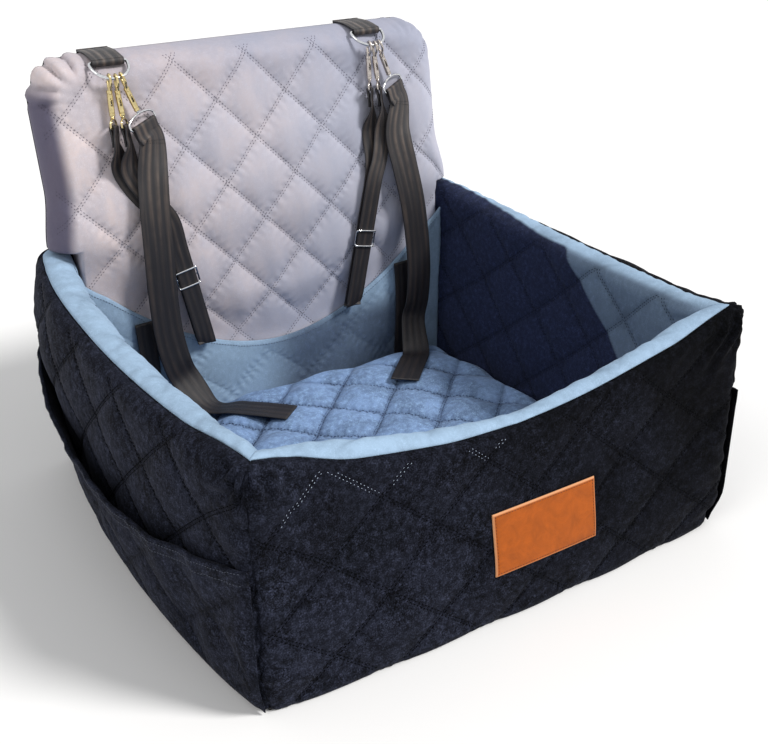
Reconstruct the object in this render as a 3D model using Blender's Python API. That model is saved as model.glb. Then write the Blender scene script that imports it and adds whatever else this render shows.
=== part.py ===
"""Dog car seat: a quilted box with a dipped front, a padded backrest that slides into a rear
pocket, two side pockets, a loose cushion, and two sets of snap hooks with webbing tethers.

Metres. +X is the seat's right seen from the front, -Y its front, +Z up. The origin is the middle
of the underside. Skins are open shells around foam cores, and pieces that touch keep GAP.
"""

import math

import bmesh
import bpy
from mathutils import Matrix, Vector

# Fit
GAP = 0.0003
SLIDE_CLEARANCE = 0.0006
FIT_SIDE = 0.0008
FOAM_GAP = 0.0009

# Box
BOX_WIDTH = 0.600
BOX_DEPTH = 0.586
FRONT_CORNER_HEIGHT = 0.281
REAR_CORNER_HEIGHT = 0.297
FRONT_DIP = 0.050
SIDE_DIP = 0.014
SIDE_BULGE = 0.030
INNER_BOW = 0.5
FRONT_BULGE = 0.008
WALL_THICKNESS = 0.038
COVER_THICKNESS = 0.005
RIM_SEAM_ANGLE = math.radians(60)
BOTTOM_THICKNESS = 0.003
BOARD_THICKNESS = 0.005
FLOOR_LINING_THICKNESS = 0.002
REAR_LINING_THICKNESS = 0.004
REAR_LINING_MIDDLE = 0.120
REAR_LINING_RISE = 0.141

# Backrest
BACKREST_WIDTH = 0.585
BACKREST_TOP = 0.522
BACKREST_THICKNESS = 0.042
BACKREST_PUFF = 0.006
BACKREST_LEAN = 0.17
LEAN_START = 0.050
BACKREST_CORNER_RADIUS = 0.052
BACKREST_ROLL_WIDTH = 0.045
BACKREST_EDGE_DEPTH = 0.014
FREE_START = 0.034
FREE_LENGTH = 0.050
FOAM_CLEARANCE = 0.0030
BACKREST_COLUMNS = 16
FOAM_COLUMNS = 8
BACKREST_COVER_THICKNESS = 0.004
TONGUE_SIDE_CLEARANCE = 0.0095
SHOULDER_CLEARANCE = 0.003

# Quilting
QUILT_WIDTH = 0.101
QUILT_HEIGHT = 0.117
QUILT_RELIEF = 0.005

# Cushion. The rounding gives how far in each level lies, and its share of the edge's height.
CUSHION_SIDE_GAP = 0.004
CUSHION_FRONT_GAP = 0.004
CUSHION_REAR_GAP = 0.007
CUSHION_EDGE_HEIGHT = 0.048
CUSHION_CROWN = 0.016
CUSHION_CORNER = 0.05
CUSHION_SCALLOP = 0.003
CUSHION_ROUND = ((0.008, 0.0), (0.0, 0.35), (0.004, 0.62), (0.013, 0.88), (0.027, 1.0))
CUSHION_CELLS = 16

# Side pockets
POCKET_THICKNESS = 0.004
POCKET_END_INSET = 0.010
POCKET_HEM_END_HEIGHT = 0.178
POCKET_HEM_SAG = 0.046
POCKET_OPENING = 0.020
POCKET_HEM_DEPTH = 0.018
POCKET_HEM_EXTRA = 0.0015

# Label
LABEL_WIDTH = 0.136
LABEL_HEIGHT = 0.071
LABEL_THICKNESS = 0.0022
LABEL_CORNER_RADIUS = 0.003
LABEL_CENTRE_X = 0.031
LABEL_CENTRE_Z = 0.101

# Webbing tabs and their rings
TAB_SPACING = 0.356
TAB_SHIFT = -0.014
TAB_WIDTH = 0.040
WEBBING_THICKNESS = 0.0018
TAB_TAIL = 0.032
TAB_UNDERLAP = 0.009
TAB_TAIL_RISE = 0.0022
RING_WIRE = 0.004
RING_SIDE_CLEARANCE = 0.001
RING_LEG = 0.005
RING_TILT = math.radians(57)

# Snap hooks, in a fan on each ring. Heights are above the barrel's top.
SNAP_PITCH = 0.0078
SNAP_LEANS = (math.radians(-3), math.radians(2.5), math.radians(18))
SNAP_STANDOFF = 0.013
SNAP_ROD = 0.003
SNAP_BEND_RADIUS = 0.0049
SNAP_SEAT_GAP = 0.0008
SNAP_SHANK = ((0.6, -0.346), (0.66, -0.077), (1.05, 0.215), (1.7, 0.431), (2.0, 0.708), (2.0, 1.0))
BARREL_DIAMETER = 0.007
BARREL_LENGTH = 0.030
BARREL_FLOOR = 0.0017
RIM_CHAMFER = 0.0004
BORE_DIAMETER = 0.0046
BOLT_DIAMETER = 0.0038
BOLT_INSIDE = 0.0125
BOLT_TRAVEL = 0.007
STUD_DIAMETER = 0.0018
STUD_REACH = 0.0062
STUD_DEPTH = 0.0103
BOLT_CHAMFER = 0.0007
STUD_CHAMFER = 0.0004
MOUTH_HEIGHT = 0.0115
SPRING_WIRE = 0.0005
SPRING_TURNS = 5
POST_DIAMETER = 0.0020
POST_HEAD_DIAMETER = 0.0040
POST_HEAD_HEIGHT = 0.0010
KNUCKLE_DIAMETERS = (0.0045, 0.0056)
EYE_ROD = 0.0026
EYE_SHOULDER = 0.35
EYE_DROP = 0.0032
EYE_HEIGHTS = (0.011, 0.011, 0.014)
EYE_TURNS = (math.radians(50), math.radians(50), math.radians(24))

# Tethers
TETHER_WIDTH = 0.040
LEASH_WIDTH = 0.025
BUNCHED_WIDTH = 0.013
BUNCHED_THICKNESS = 0.0026
BUNCHED_LENGTH = 0.035
EYE_SIDE_CLEARANCE = 0.001
HEAD_TAIL = 0.022
TETHER_STANDOFF = 0.016
LEASH_STANDOFF = 0.009
LEASH_BACK_STANDOFF = 0.003
GLIDE_ROD = 0.0024
GLIDE_HEIGHT = 0.022
ANCHOR_WIDTH = 0.026
ANCHOR_INSET = 0.065
ANCHOR_LOW = 0.034

# Where the straps hang and lie: across and up, then across and back along the cushion
RING_LOW_DROP = 0.021
SNAP_FACE_HEIGHT = 0.440
STRAP_FACE_LOW = 0.320
TETHER_REST = 0.0048
TETHER_FALL = {
    "left": ((-0.166, 0.385), (-0.171, 0.340), (-0.173, 0.290), (-0.174, 0.235), (-0.172, 0.180),
             (-0.165, 0.135), (-0.154, 0.105)),
    "right": ((0.188, 0.385), (0.194, 0.340), (0.204, 0.290), (0.212, 0.235), (0.216, 0.180),
              (0.213, 0.135), (0.206, 0.105)),
}
TETHER_LIE = {
    "left": ((-0.134, 0.192), (-0.110, 0.165), (-0.084, 0.135), (-0.058, 0.105)),
    "right": ((0.190, 0.188), (0.168, 0.160), (0.142, 0.132), (0.116, 0.104)),
}
LEASH_FALL = {"left": ((-0.190, 0.390), (-0.172, 0.355)), "right": ((0.168, 0.390), (0.160, 0.355))}
LEASH_STRAIGHT = {"left": ((-0.152, 0.325), (-0.121, 0.165)), "right": ((0.147, 0.325), (0.112, 0.165))}
LEASH_RETURN = {"left": ((-0.199, 0.390), (-0.180, 0.355)), "right": ((0.152, 0.390), (0.152, 0.355))}

# Heights and depths worked out from the sizes above
HALF_WIDTH = BOX_WIDTH / 2
HALF_DEPTH = BOX_DEPTH / 2
WALL_BASE = BOTTOM_THICKNESS + GAP
BOARD_TOP = WALL_BASE + BOARD_THICKNESS
LINING_BASE = BOARD_TOP + GAP
FLOOR_TOP = LINING_BASE + FLOOR_LINING_THICKNESS
TONGUE_BACK = HALF_DEPTH - COVER_THICKNESS - SLIDE_CLEARANCE
TONGUE_FRONT = TONGUE_BACK - BACKREST_THICKNESS
REAR_LINING_BACK = TONGUE_FRONT - SLIDE_CLEARANCE
REAR_LINING_FRONT = REAR_LINING_BACK - REAR_LINING_THICKNESS
TONGUE_HALF_WIDTH = HALF_WIDTH - WALL_THICKNESS - TONGUE_SIDE_CLEARANCE
SHOULDER_HEIGHT = REAR_CORNER_HEIGHT + SHOULDER_CLEARANCE
CUSHION_FRONT = -(HALF_DEPTH - WALL_THICKNESS) + CUSHION_FRONT_GAP
CUSHION_REAR = REAR_LINING_FRONT - CUSHION_REAR_GAP
HANG = math.atan(BACKREST_LEAN)
STRAP_DEPTH = TONGUE_FRONT - BACKREST_PUFF - QUILT_RELIEF
BEND_HEIGHT = MOUTH_HEIGHT + SNAP_ROD / 2
WIRE_HEIGHT = BEND_HEIGHT + SNAP_BEND_RADIUS - SNAP_ROD / 2 - RING_WIRE / 2 - SNAP_SEAT_GAP

STATIONS = 12
SIDES = {"left": -1, "right": 1}


def clear_scene():
    for obj in list(bpy.data.objects):
        bpy.data.objects.remove(obj, do_unlink=True)


def make_material(name, colour, roughness, metallic=0.0):
    material = bpy.data.materials.new(name)
    material.use_nodes = True
    shader = material.node_tree.nodes["Principled BSDF"]
    shader.inputs["Base Color"].default_value = (*colour, 1.0)
    shader.inputs["Roughness"].default_value = roughness
    shader.inputs["Metallic"].default_value = metallic
    material.diffuse_color = (*colour, 1.0)
    return material


def make_materials():
    return {
        "navy": make_material("navy velvet", (0.006, 0.010, 0.022), 0.85),
        "blue": make_material("light blue velvet", (0.40, 0.56, 0.72), 0.80),
        "lilac": make_material("lilac grey velvet", (0.45, 0.46, 0.62), 0.80),
        "black": make_material("black webbing", (0.010, 0.009, 0.010), 0.55),
        "leather": make_material("tan leather", (0.52, 0.18, 0.035), 0.50),
        "gold": make_material("pale gold plating", (0.75, 0.55, 0.25), 0.25, 1.0),
        "nickel": make_material("satin nickel plating", (0.62, 0.56, 0.52), 0.25, 1.0),
        "chrome": make_material("bright chrome", (0.75, 0.75, 0.77), 0.12, 1.0),
        "steel": make_material("spring steel", (0.45, 0.45, 0.46), 0.30, 1.0),
        "foam": make_material("white foam", (0.78, 0.76, 0.70), 0.95),
        "board": make_material("grey fibre board", (0.20, 0.20, 0.21), 0.80),
    }


def add_object(name, mesh, material, place=None, smooth_angle=40):
    """A node: the mesh at its place, with rounded faces shaded smooth."""
    obj = bpy.data.objects.new(name, mesh)
    if not mesh.materials:
        mesh.materials.append(material)
        mesh.shade_smooth()
        mesh.set_sharp_from_angle(angle=math.radians(smooth_angle))
    if place is not None:
        obj.matrix_world = place
    bpy.context.scene.collection.objects.link(obj)
    return obj


def closed_mesh(bm, name):
    bmesh.ops.recalc_face_normals(bm, faces=bm.faces)
    mesh = bpy.data.meshes.new(name)
    bm.to_mesh(mesh)
    bm.free()
    return mesh


def loft(name, sections, ring=False):
    """A closed mesh through sections, which are loops of as many points each. A ring has no ends."""
    bm = bmesh.new()
    rows = [[bm.verts.new(point) for point in section] for section in sections]
    pairs = list(zip(rows, rows[1:]))
    if ring:
        pairs.append((rows[-1], rows[0]))
    for first, second in pairs:
        for k in range(len(first)):
            n = (k + 1) % len(first)
            bm.faces.new((first[k], first[n], second[n], second[k]))
    if not ring:
        bm.faces.new(rows[0])
        bm.faces.new(reversed(rows[-1]))
    return closed_mesh(bm, name)


def lathe(name, profile, segments):
    """A closed (radius, height) profile turned about Z. Points with no radius meet on the axis."""
    bm = bmesh.new()
    rows = []
    for radius, height in profile:
        if radius < 1e-9:
            rows.append([bm.verts.new((0, 0, height))] * segments)
            continue
        turn = [2 * math.pi * k / segments for k in range(segments)]
        rows.append([bm.verts.new((radius * math.cos(a), radius * math.sin(a), height)) for a in turn])
    count = len(rows)
    for i in range(count):
        lower, upper = rows[i], rows[(i + 1) % count]
        if profile[i][0] < 1e-9 and profile[(i + 1) % count][0] < 1e-9:
            continue
        for k in range(segments):
            n = (k + 1) % segments
            corners = (lower[k], lower[n], upper[n], upper[k])
            bm.faces.new(tuple(dict.fromkeys(corners)))
    return closed_mesh(bm, name)


def swept_rod(name, path, diameter, sides, ring=False, across=Vector((1, 0, 0))):
    """A round rod along a path that lies square to the across direction."""
    sections = []
    count = len(path)
    for i, point in enumerate(path):
        before = path[i - 1] if i or ring else path[0]
        after = path[(i + 1) % count] if i < count - 1 or ring else path[-1]
        along = (after - before).normalized()
        side = along.cross(across).normalized()
        turn = [2 * math.pi * (k + 0.5) / sides for k in range(sides)]
        radius = diameter / 2
        sections.append([point + radius * (math.cos(a) * across + math.sin(a) * side) for a in turn])
    return loft(name, sections, ring)


def smooth_path(points, steps):
    """Points along a smooth curve through the given ones, with as many steps for each stretch."""
    path = []
    ends = [points[0] * 2 - points[1], *points, points[-1] * 2 - points[-2]]
    for i in range(1, len(ends) - 2):
        p0, p1, p2, p3 = ends[i - 1 : i + 3]
        for k in range(steps):
            t = k / steps
            path.append(
                0.5
                * (
                    2 * p1
                    + (p2 - p0) * t
                    + (2 * p0 - 5 * p1 + 4 * p2 - p3) * t**2
                    + (3 * p1 - p0 - 3 * p2 + p3) * t**3
                )
            )
    path.append(points[-1].copy())
    return path


def webbing(name, path, faces, widths, thicknesses=None):
    """A flat strap along a path. Each point has a width and the direction that the strap faces."""
    sections = []
    for i, point in enumerate(path):
        thickness = thicknesses[i] if thicknesses else WEBBING_THICKNESS
        along = (path[min(i + 1, len(path) - 1)] - path[max(i - 1, 0)]).normalized()
        across = along.cross(faces[i]).normalized()
        out = across.cross(along).normalized()
        w, t = across * (widths[i] / 2), out * (thickness / 2)
        sections.append([point - w - t, point + w - t, point + w + t, point - w + t])
    return loft(name, sections)


def plate(name, outline, low, high, place):
    """An outline of two coordinates given a thickness. place makes a point of them and a depth."""
    sections = [[place(a, b, depth) for a, b in outline] for depth in (low, high)]
    return loft(name, sections)


def evaluated_mesh(name, obj, helpers=()):
    """The mesh that an object's modifiers give, after which the object and its helpers go."""
    bpy.context.view_layer.update()
    graph = bpy.context.evaluated_depsgraph_get()
    mesh = bpy.data.meshes.new_from_object(obj.evaluated_get(graph))
    mesh.name = name
    for item in (obj, *helpers):
        bpy.data.objects.remove(item, do_unlink=True)
    return mesh


def helper(mesh):
    obj = bpy.data.objects.new(mesh.name, mesh)
    obj.hide_render = True
    obj.display_type = "WIRE"
    bpy.context.scene.collection.objects.link(obj)
    return obj


def combine(name, base, joined=(), cut=()):
    """The base mesh with meshes joined to it, then others cut from it, worked in millimetres."""
    for mesh in (base, *joined, *cut):
        mesh.transform(Matrix.Scale(1000, 4))
    obj = helper(base)
    helpers = [helper(mesh) for mesh in (*joined, *cut)]
    for k, other in enumerate(helpers):
        modifier = obj.modifiers.new(f"step {k}", "BOOLEAN")
        modifier.operation = "UNION" if k < len(joined) else "DIFFERENCE"
        modifier.solver = "EXACT"
        modifier.object = other
    mesh = evaluated_mesh(name, obj, helpers)
    mesh.transform(Matrix.Scale(0.001, 4))
    return mesh


def box_mesh(name, low, high):
    corners = [(low[0], low[1]), (high[0], low[1]), (high[0], high[1]), (low[0], high[1])]
    return plate(name, corners, low[2], high[2], lambda x, y, z: Vector((x, y, z)))


# Walls. u runs from -1 to 1 along a wall, depth inwards from its outer skin.


def belly(share_of_height):
    """How much of a wall's bulge shows at a share of its height."""
    middle = 0.45
    if share_of_height < middle:
        return 1 - 0.15 * ((middle - share_of_height) / middle) ** 2
    return 1 - 0.35 * ((share_of_height - middle) / (1 - middle)) ** 2


def front_rim(u):
    return FRONT_CORNER_HEIGHT - FRONT_DIP * (1 - abs(u) ** 1.4)


def side_rim(u):
    rise = (REAR_CORNER_HEIGHT - FRONT_CORNER_HEIGHT) * (u + 1) / 2
    return FRONT_CORNER_HEIGHT + rise - SIDE_DIP * (1 - u * u)


def smoothstep(value):
    t = max(0.0, min(1.0, value))
    return t * t * (3 - 2 * t)


def quilt(x, z):
    """0 along the diagonal seams and 1 in the middle of each diamond."""
    p = x / QUILT_WIDTH + z / QUILT_HEIGHT
    q = x / QUILT_WIDTH - z / QUILT_HEIGHT
    return math.sqrt(abs(math.sin(math.pi * p) * math.sin(math.pi * q)))


def front_place(u, depth, z):
    out = FRONT_BULGE * (1 - u * u) * belly(z / front_rim(u))
    return Vector((u * (HALF_WIDTH - depth - GAP), -(HALF_DEPTH - depth) - out, z))


def front_skin(x, z):
    """Where the outer skin of the front wall stands."""
    return front_place(x / (HALF_WIDTH - GAP), 0, z).y


def side_ends(depth):
    return -(HALF_DEPTH - depth) + GAP, HALF_DEPTH - COVER_THICKNESS - GAP


def side_skin(y, z, depth=0.0):
    """A side wall's distance from the middle of the seat, at a depth in from its outer skin."""
    front, rear = side_ends(depth)
    u = max(-1.0, min(1.0, 2 * (y - front) / (rear - front) - 1))
    bow = SIDE_BULGE * (1 - u * u) * belly(z / side_rim(u))
    return HALF_WIDTH - depth + bow * (1 - INNER_BOW * depth / WALL_THICKNESS)


def side_place(side):
    def place(u, depth, z):
        front, rear = side_ends(depth)
        y = front + (rear - front) * (u + 1) / 2
        return Vector((SIDES[side] * side_skin(y, z, depth), y, z))

    return place


def skin_line(rim, inset, base, start, end, arc_steps, wall_steps):
    """(depth, height) points of a wall's skin at an inset: up the outside, over the rim between two
    angles from its top, and down the inside."""
    radius = WALL_THICKNESS / 2
    centre = rim - radius
    line = []
    if start <= -math.pi / 2:
        line += [(inset, base + (centre - base) * k / wall_steps) for k in range(wall_steps)]
    low, high = max(start, -math.pi / 2), min(end, math.pi / 2)
    for k in range(arc_steps + 1):
        angle = low + (high - low) * k / arc_steps
        reach = radius - inset
        line.append((radius + reach * math.sin(angle), centre + reach * math.cos(angle)))
    if end >= math.pi / 2:
        inner = WALL_THICKNESS - inset
        line += [(inner, centre + (base - centre) * k / wall_steps) for k in range(1, wall_steps + 1)]
    return line


def wall_shell(name, place, rim, base, start, end, arc_steps, wall_steps):
    """The skin of a wall between two angles over its rim, as thick as its quilted cover."""
    sections = []
    for k in range(STATIONS + 1):
        u = 2 * k / STATIONS - 1
        outer = skin_line(rim(u), 0, base, start, end, arc_steps, wall_steps)
        inner = skin_line(rim(u), COVER_THICKNESS, base, start, end, arc_steps, wall_steps)
        sections.append([place(u, d, z) for d, z in outer + inner[::-1]])
    return loft(name, sections)


def wall_core(name, place, rim):
    """The foam slab inside a wall."""
    sections = []
    reach = math.pi / 2
    for k in range(STATIONS + 1):
        u = 2 * k / STATIONS - 1
        line = skin_line(rim(u), COVER_THICKNESS + FOAM_GAP, LINING_BASE, -reach, reach, 6, 4)
        sections.append([place(u, d, z) for d, z in line])
    return loft(name, sections)


def make_walls(materials):
    walls = {"front": (front_place, front_rim)}
    for side in SIDES:
        walls[side] = (side_place(side), side_rim)
    seam_gap = GAP / (WALL_THICKNESS / 2 - COVER_THICKNESS)
    for wall, (place, rim) in walls.items():
        outside = wall_shell(
            f"{wall}_cover", place, rim, WALL_BASE, -math.pi / 2, -RIM_SEAM_ANGLE, 2, 4
        )
        add_object(f"{wall}_outer_cover", outside, materials["navy"])
        inside = wall_shell(
            f"{wall}_lining", place, rim, LINING_BASE, seam_gap - RIM_SEAM_ANGLE, math.pi / 2, 7, 4
        )
        add_object(f"{wall}_inner_lining", inside, materials["blue"])
        add_object(f"{wall}_wall_foam", wall_core(f"{wall}_foam", place, rim), materials["foam"])


def make_rear_wall(materials):
    """A flat cover behind the backrest, and the sagging lining that holds it in front."""
    radius = WALL_THICKNESS / 2
    top = REAR_CORNER_HEIGHT
    outline = [(-HALF_WIDTH, WALL_BASE), (HALF_WIDTH, WALL_BASE)]
    for side, start in ((1, 0), (-1, math.pi / 2)):
        for k in range(5):
            angle = start + k * math.pi / 8
            centre = side * (HALF_WIDTH - radius)
            outline.append((centre + radius * math.cos(angle), top - radius + radius * math.sin(angle)))
    cover = plate(
        "rear cover", outline, HALF_DEPTH - COVER_THICKNESS, HALF_DEPTH, lambda x, z, y: Vector((x, y, z))
    )
    add_object("rear_outer_cover", cover, materials["navy"])
    middle = (REAR_LINING_FRONT + REAR_LINING_BACK) / 2
    sections = []
    for k in range(STATIONS + 1):
        share = 2 * k / STATIONS - 1
        edge = rear_lining_edge(share * (HALF_WIDTH - WALL_THICKNESS))
        levels = [LINING_BASE + (edge - LINING_BASE) * n / 3 for n in range(4)]
        line = []
        for z in levels:
            line.append((share * (side_skin(middle, z, WALL_THICKNESS) - FIT_SIDE), z))
        front = [Vector((x, REAR_LINING_FRONT, z)) for x, z in line]
        back = [Vector((x, REAR_LINING_BACK, z)) for x, z in reversed(line)]
        sections.append(front + back)
    add_object("rear_inner_lining", loft("rear lining", sections), materials["blue"])


def rear_lining_edge(x):
    """The height of the rear lining's top edge, which sags between the side walls."""
    half = HALF_WIDTH - WALL_THICKNESS
    return REAR_LINING_MIDDLE + REAR_LINING_RISE * (min(abs(x), half) / half) ** 1.9


def base_outline(inset, rear):
    """The footprint, inset from the skin all round, with its rear edge at a given depth."""
    points = []
    for k in range(STATIONS):
        points.append(front_place(2 * k / STATIONS - 1, inset, 0).to_2d())
    front = -(HALF_DEPTH - inset)
    flank = []
    for k in range(STATIONS + 1):
        y = front + (rear - front) * k / STATIONS
        flank.append(Vector((side_skin(y, 0, inset), y)))
    points += flank
    points += [Vector((-point.x, point.y)) for point in reversed(flank[1:])]
    return points


def make_base(materials):
    def place(x, y, z):
        return Vector((x, y, z))

    bottom = base_outline(GAP, HALF_DEPTH - GAP)
    mesh = plate("bottom cover", bottom, 0, BOTTOM_THICKNESS, place)
    add_object("bottom_cover", mesh, materials["black"])
    inside = COVER_THICKNESS + 2 * GAP
    board = base_outline(inside, HALF_DEPTH - inside)
    add_object("base_board", plate("board", board, WALL_BASE, BOARD_TOP, place), materials["board"])
    lining = base_outline(WALL_THICKNESS + 3 * GAP, REAR_LINING_FRONT - GAP)
    mesh = plate("floor lining", lining, LINING_BASE, FLOOR_TOP, place)
    add_object("floor_lining", mesh, materials["blue"])


# Backrest


def backrest_lean(z):
    """How far the backrest stands back at a height, above the box that holds it."""
    rise = z - REAR_CORNER_HEIGHT
    if rise <= 0:
        return 0.0
    if rise < LEAN_START:
        return BACKREST_LEAN * rise**2 / (2 * LEAN_START)
    return BACKREST_LEAN * (rise - LEAN_START / 2)


def upper_half_width(z):
    """Half the backrest's width above its shoulders, drawn in round the top corners."""
    rise = z - (BACKREST_TOP - BACKREST_CORNER_RADIUS)
    if rise <= 0:
        return BACKREST_WIDTH / 2
    radius = BACKREST_CORNER_RADIUS
    return BACKREST_WIDTH / 2 - radius + math.sqrt(max(0.0, radius**2 - rise**2))


def backrest_depth(x, z, relief):
    """How far the padded face stands in front of the backrest's back."""
    free = smoothstep((z - rear_lining_edge(x) - FREE_START) / FREE_LENGTH)
    depth = BACKREST_THICKNESS + BACKREST_PUFF * free + relief * free * quilt(x, z)
    edge = min(upper_half_width(z) - abs(x), BACKREST_TOP - z)
    t = max(0.0, min(1.0, edge / BACKREST_ROLL_WIDTH))
    rounding = math.sqrt(1 - (1 - t) ** 2)
    return BACKREST_EDGE_DEPTH + (depth - BACKREST_EDGE_DEPTH) * rounding


def face_y(x, z):
    """Where the padded face stands, at the full height of its quilting."""
    return TONGUE_BACK + backrest_lean(z) - backrest_depth(x, z, 0) - QUILT_RELIEF


def seam_y(z):
    """Where the backrest's padding meets its back cover."""
    return TONGUE_BACK + backrest_lean(z) - BACKREST_COVER_THICKNESS - FIT_SIDE


def backrest_rows(columns, depth):
    """Rows of points over the T-shaped backrest, with None beside its narrow tongue. columns is
    how many spaces the tongue has across, and depth gives a point's depth from its x and z."""
    tongue, wide = TONGUE_HALF_WIDTH, BACKREST_WIDTH / 2
    across = [tongue * (2 * k / columns - 1) for k in range(columns + 1)]
    across = [-wide, -(wide + tongue) / 2, *across, (wide + tongue) / 2, wide]
    arc = BACKREST_TOP - BACKREST_CORNER_RADIUS
    heights = [LINING_BASE + (SHOULDER_HEIGHT - LINING_BASE) * k / 9 for k in range(9)]
    heights += [SHOULDER_HEIGHT + (arc - SHOULDER_HEIGHT) * k / 5 for k in range(5)]
    heights += [arc + (BACKREST_TOP - arc) * math.sin(k * math.pi / 8) for k in range(5)]
    rows = []
    for z in heights:
        row = []
        for x in across:
            if z < SHOULDER_HEIGHT and abs(x) > tongue + GAP:
                row.append(None)
                continue
            drawn_in = x * upper_half_width(z) / wide
            y = TONGUE_BACK + backrest_lean(z) - depth(drawn_in, z)
            row.append(Vector((drawn_in, y, z)))
        rows.append(row)
    return rows


def grid_faces(bm, rows):
    """Vertices and faces over a grid of points, without the cells that have a missing point."""
    made = [[bm.verts.new(point) if point else None for point in row] for row in rows]
    for lower, upper in zip(made, made[1:]):
        for k in range(len(lower) - 1):
            corners = (lower[k], lower[k + 1], upper[k + 1], upper[k])
            if all(corners):
                bm.faces.new(corners)
    return made


def padded_tray(columns, relief, inset):
    """The backrest's padded face and the edge that runs back from it to the seam, drawn in."""
    bm = bmesh.new()
    rows = grid_faces(bm, backrest_rows(columns, lambda x, z: backrest_depth(x, z, relief)))
    border = [edge for edge in bm.edges if edge.is_boundary]
    made = bmesh.ops.extrude_edge_only(bm, edges=border)["geom"]
    rim = [item for item in made if isinstance(item, bmesh.types.BMVert)]
    for vert in rim:
        vert.co.y = seam_y(vert.co.z)
    bm.normal_update()
    if bm.faces[:][0].normal.y > 0:
        bmesh.ops.reverse_faces(bm, faces=bm.faces[:])
    bm.normal_update()
    moves = {vert: vert.normal * vert.calc_shell_factor() for vert in bm.verts}
    points = [vert.co - moves[vert] * inset for vert in bm.verts]
    for vert, point in zip(bm.verts, points):
        vert.co = point
    for vert in rim:
        vert.co.y = seam_y(vert.co.z)
    return bm, rows


def mirrored_faces(bm, copies):
    """Faces like those of the mesh, turned round, over a copy of each of its vertices."""
    for face in bm.faces[:]:
        bm.faces.new([copies[vert] for vert in reversed(face.verts)])


def make_backrest(materials):
    inner, _ = padded_tray(BACKREST_COLUMNS, QUILT_RELIEF, BACKREST_COVER_THICKNESS)
    inner.verts.index_update()
    inside = [vert.co.copy() for vert in inner.verts]
    inner.free()
    outer, _ = padded_tray(BACKREST_COLUMNS, QUILT_RELIEF, 0)
    skin = outer.verts[:]
    border = [tuple(edge.verts) for edge in outer.edges if edge.is_boundary]
    copies = {vert: outer.verts.new(point) for vert, point in zip(skin, inside)}
    mirrored_faces(outer, copies)
    for a, b in border:
        outer.faces.new((a, b, copies[b], copies[a]))
    add_object("backrest_front_cover", closed_mesh(outer, "backrest cover"), materials["lilac"])

    clearance = BACKREST_COVER_THICKNESS + FOAM_CLEARANCE
    foam, rows = padded_tray(FOAM_COLUMNS, 0, clearance)
    rims = {}
    for edge in foam.edges:
        a, b = edge.verts
        if len(edge.link_faces) == 2 and (a.is_boundary != b.is_boundary):
            front, rim = (b, a) if a.is_boundary else (a, b)
            rims[front] = rim
    backs = {}
    for row in rows:
        for vert in row:
            if vert is None:
                continue
            if vert in rims:
                backs[vert] = rims[vert]
                continue
            backs[vert] = foam.verts.new((vert.co.x, seam_y(vert.co.z), vert.co.z))
    for face in foam.faces[:]:
        if all(vert in backs for vert in face.verts):
            foam.faces.new([backs[vert] for vert in reversed(face.verts)])
    add_object("backrest_foam", closed_mesh(foam, "backrest foam"), materials["foam"])

    back = bmesh.new()
    grid_faces(back, backrest_rows(2, lambda x, z: BACKREST_COVER_THICKNESS))
    border = [tuple(edge.verts) for edge in back.edges if edge.is_boundary]
    copies = {}
    for vert in back.verts[:]:
        moved = vert.co + Vector((0, BACKREST_COVER_THICKNESS, 0))
        copies[vert] = back.verts.new(moved)
    mirrored_faces(back, copies)
    for a, b in border:
        back.faces.new((a, b, copies[b], copies[a]))
    add_object("backrest_back_cover", closed_mesh(back, "backrest back"), materials["navy"])


# Cushion


def cushion_reach(v):
    """Half the cushion's width at a share of its length, following the bowed side walls."""
    bow = SIDE_BULGE * (1 - INNER_BOW) * belly(1) * (1 - v * v)
    return HALF_WIDTH - WALL_THICKNESS + bow - CUSHION_SIDE_GAP


def cushion_plan(u, v, inset):
    """A point of the cushion in plan, where u and v run from -1 to 1 over its inset outline."""
    half_depth = (CUSHION_REAR - CUSHION_FRONT) / 2 - inset
    y = (CUSHION_REAR + CUSHION_FRONT) / 2 + v * half_depth * math.sqrt(1 - CUSHION_CORNER * u * u)
    scallop = CUSHION_SCALLOP * math.cos(2 * math.pi * y / QUILT_HEIGHT) * abs(u)
    reach = cushion_reach(v) - inset - CUSHION_SCALLOP + scallop * (1 - v * v)
    return u * reach * math.sqrt(1 - CUSHION_CORNER * v * v), y


def cushion_crown(x, y):
    """The top of the cushion without its quilting, over its flat middle."""
    v = 2 * (y - CUSHION_FRONT) / (CUSHION_REAR - CUSHION_FRONT) - 1
    u = x / cushion_reach(v)
    rise = max(0.0, 1 - u**4) * max(0.0, 1 - v**4)
    return FLOOR_TOP + GAP + CUSHION_EDGE_HEIGHT + CUSHION_CROWN * rise


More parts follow.
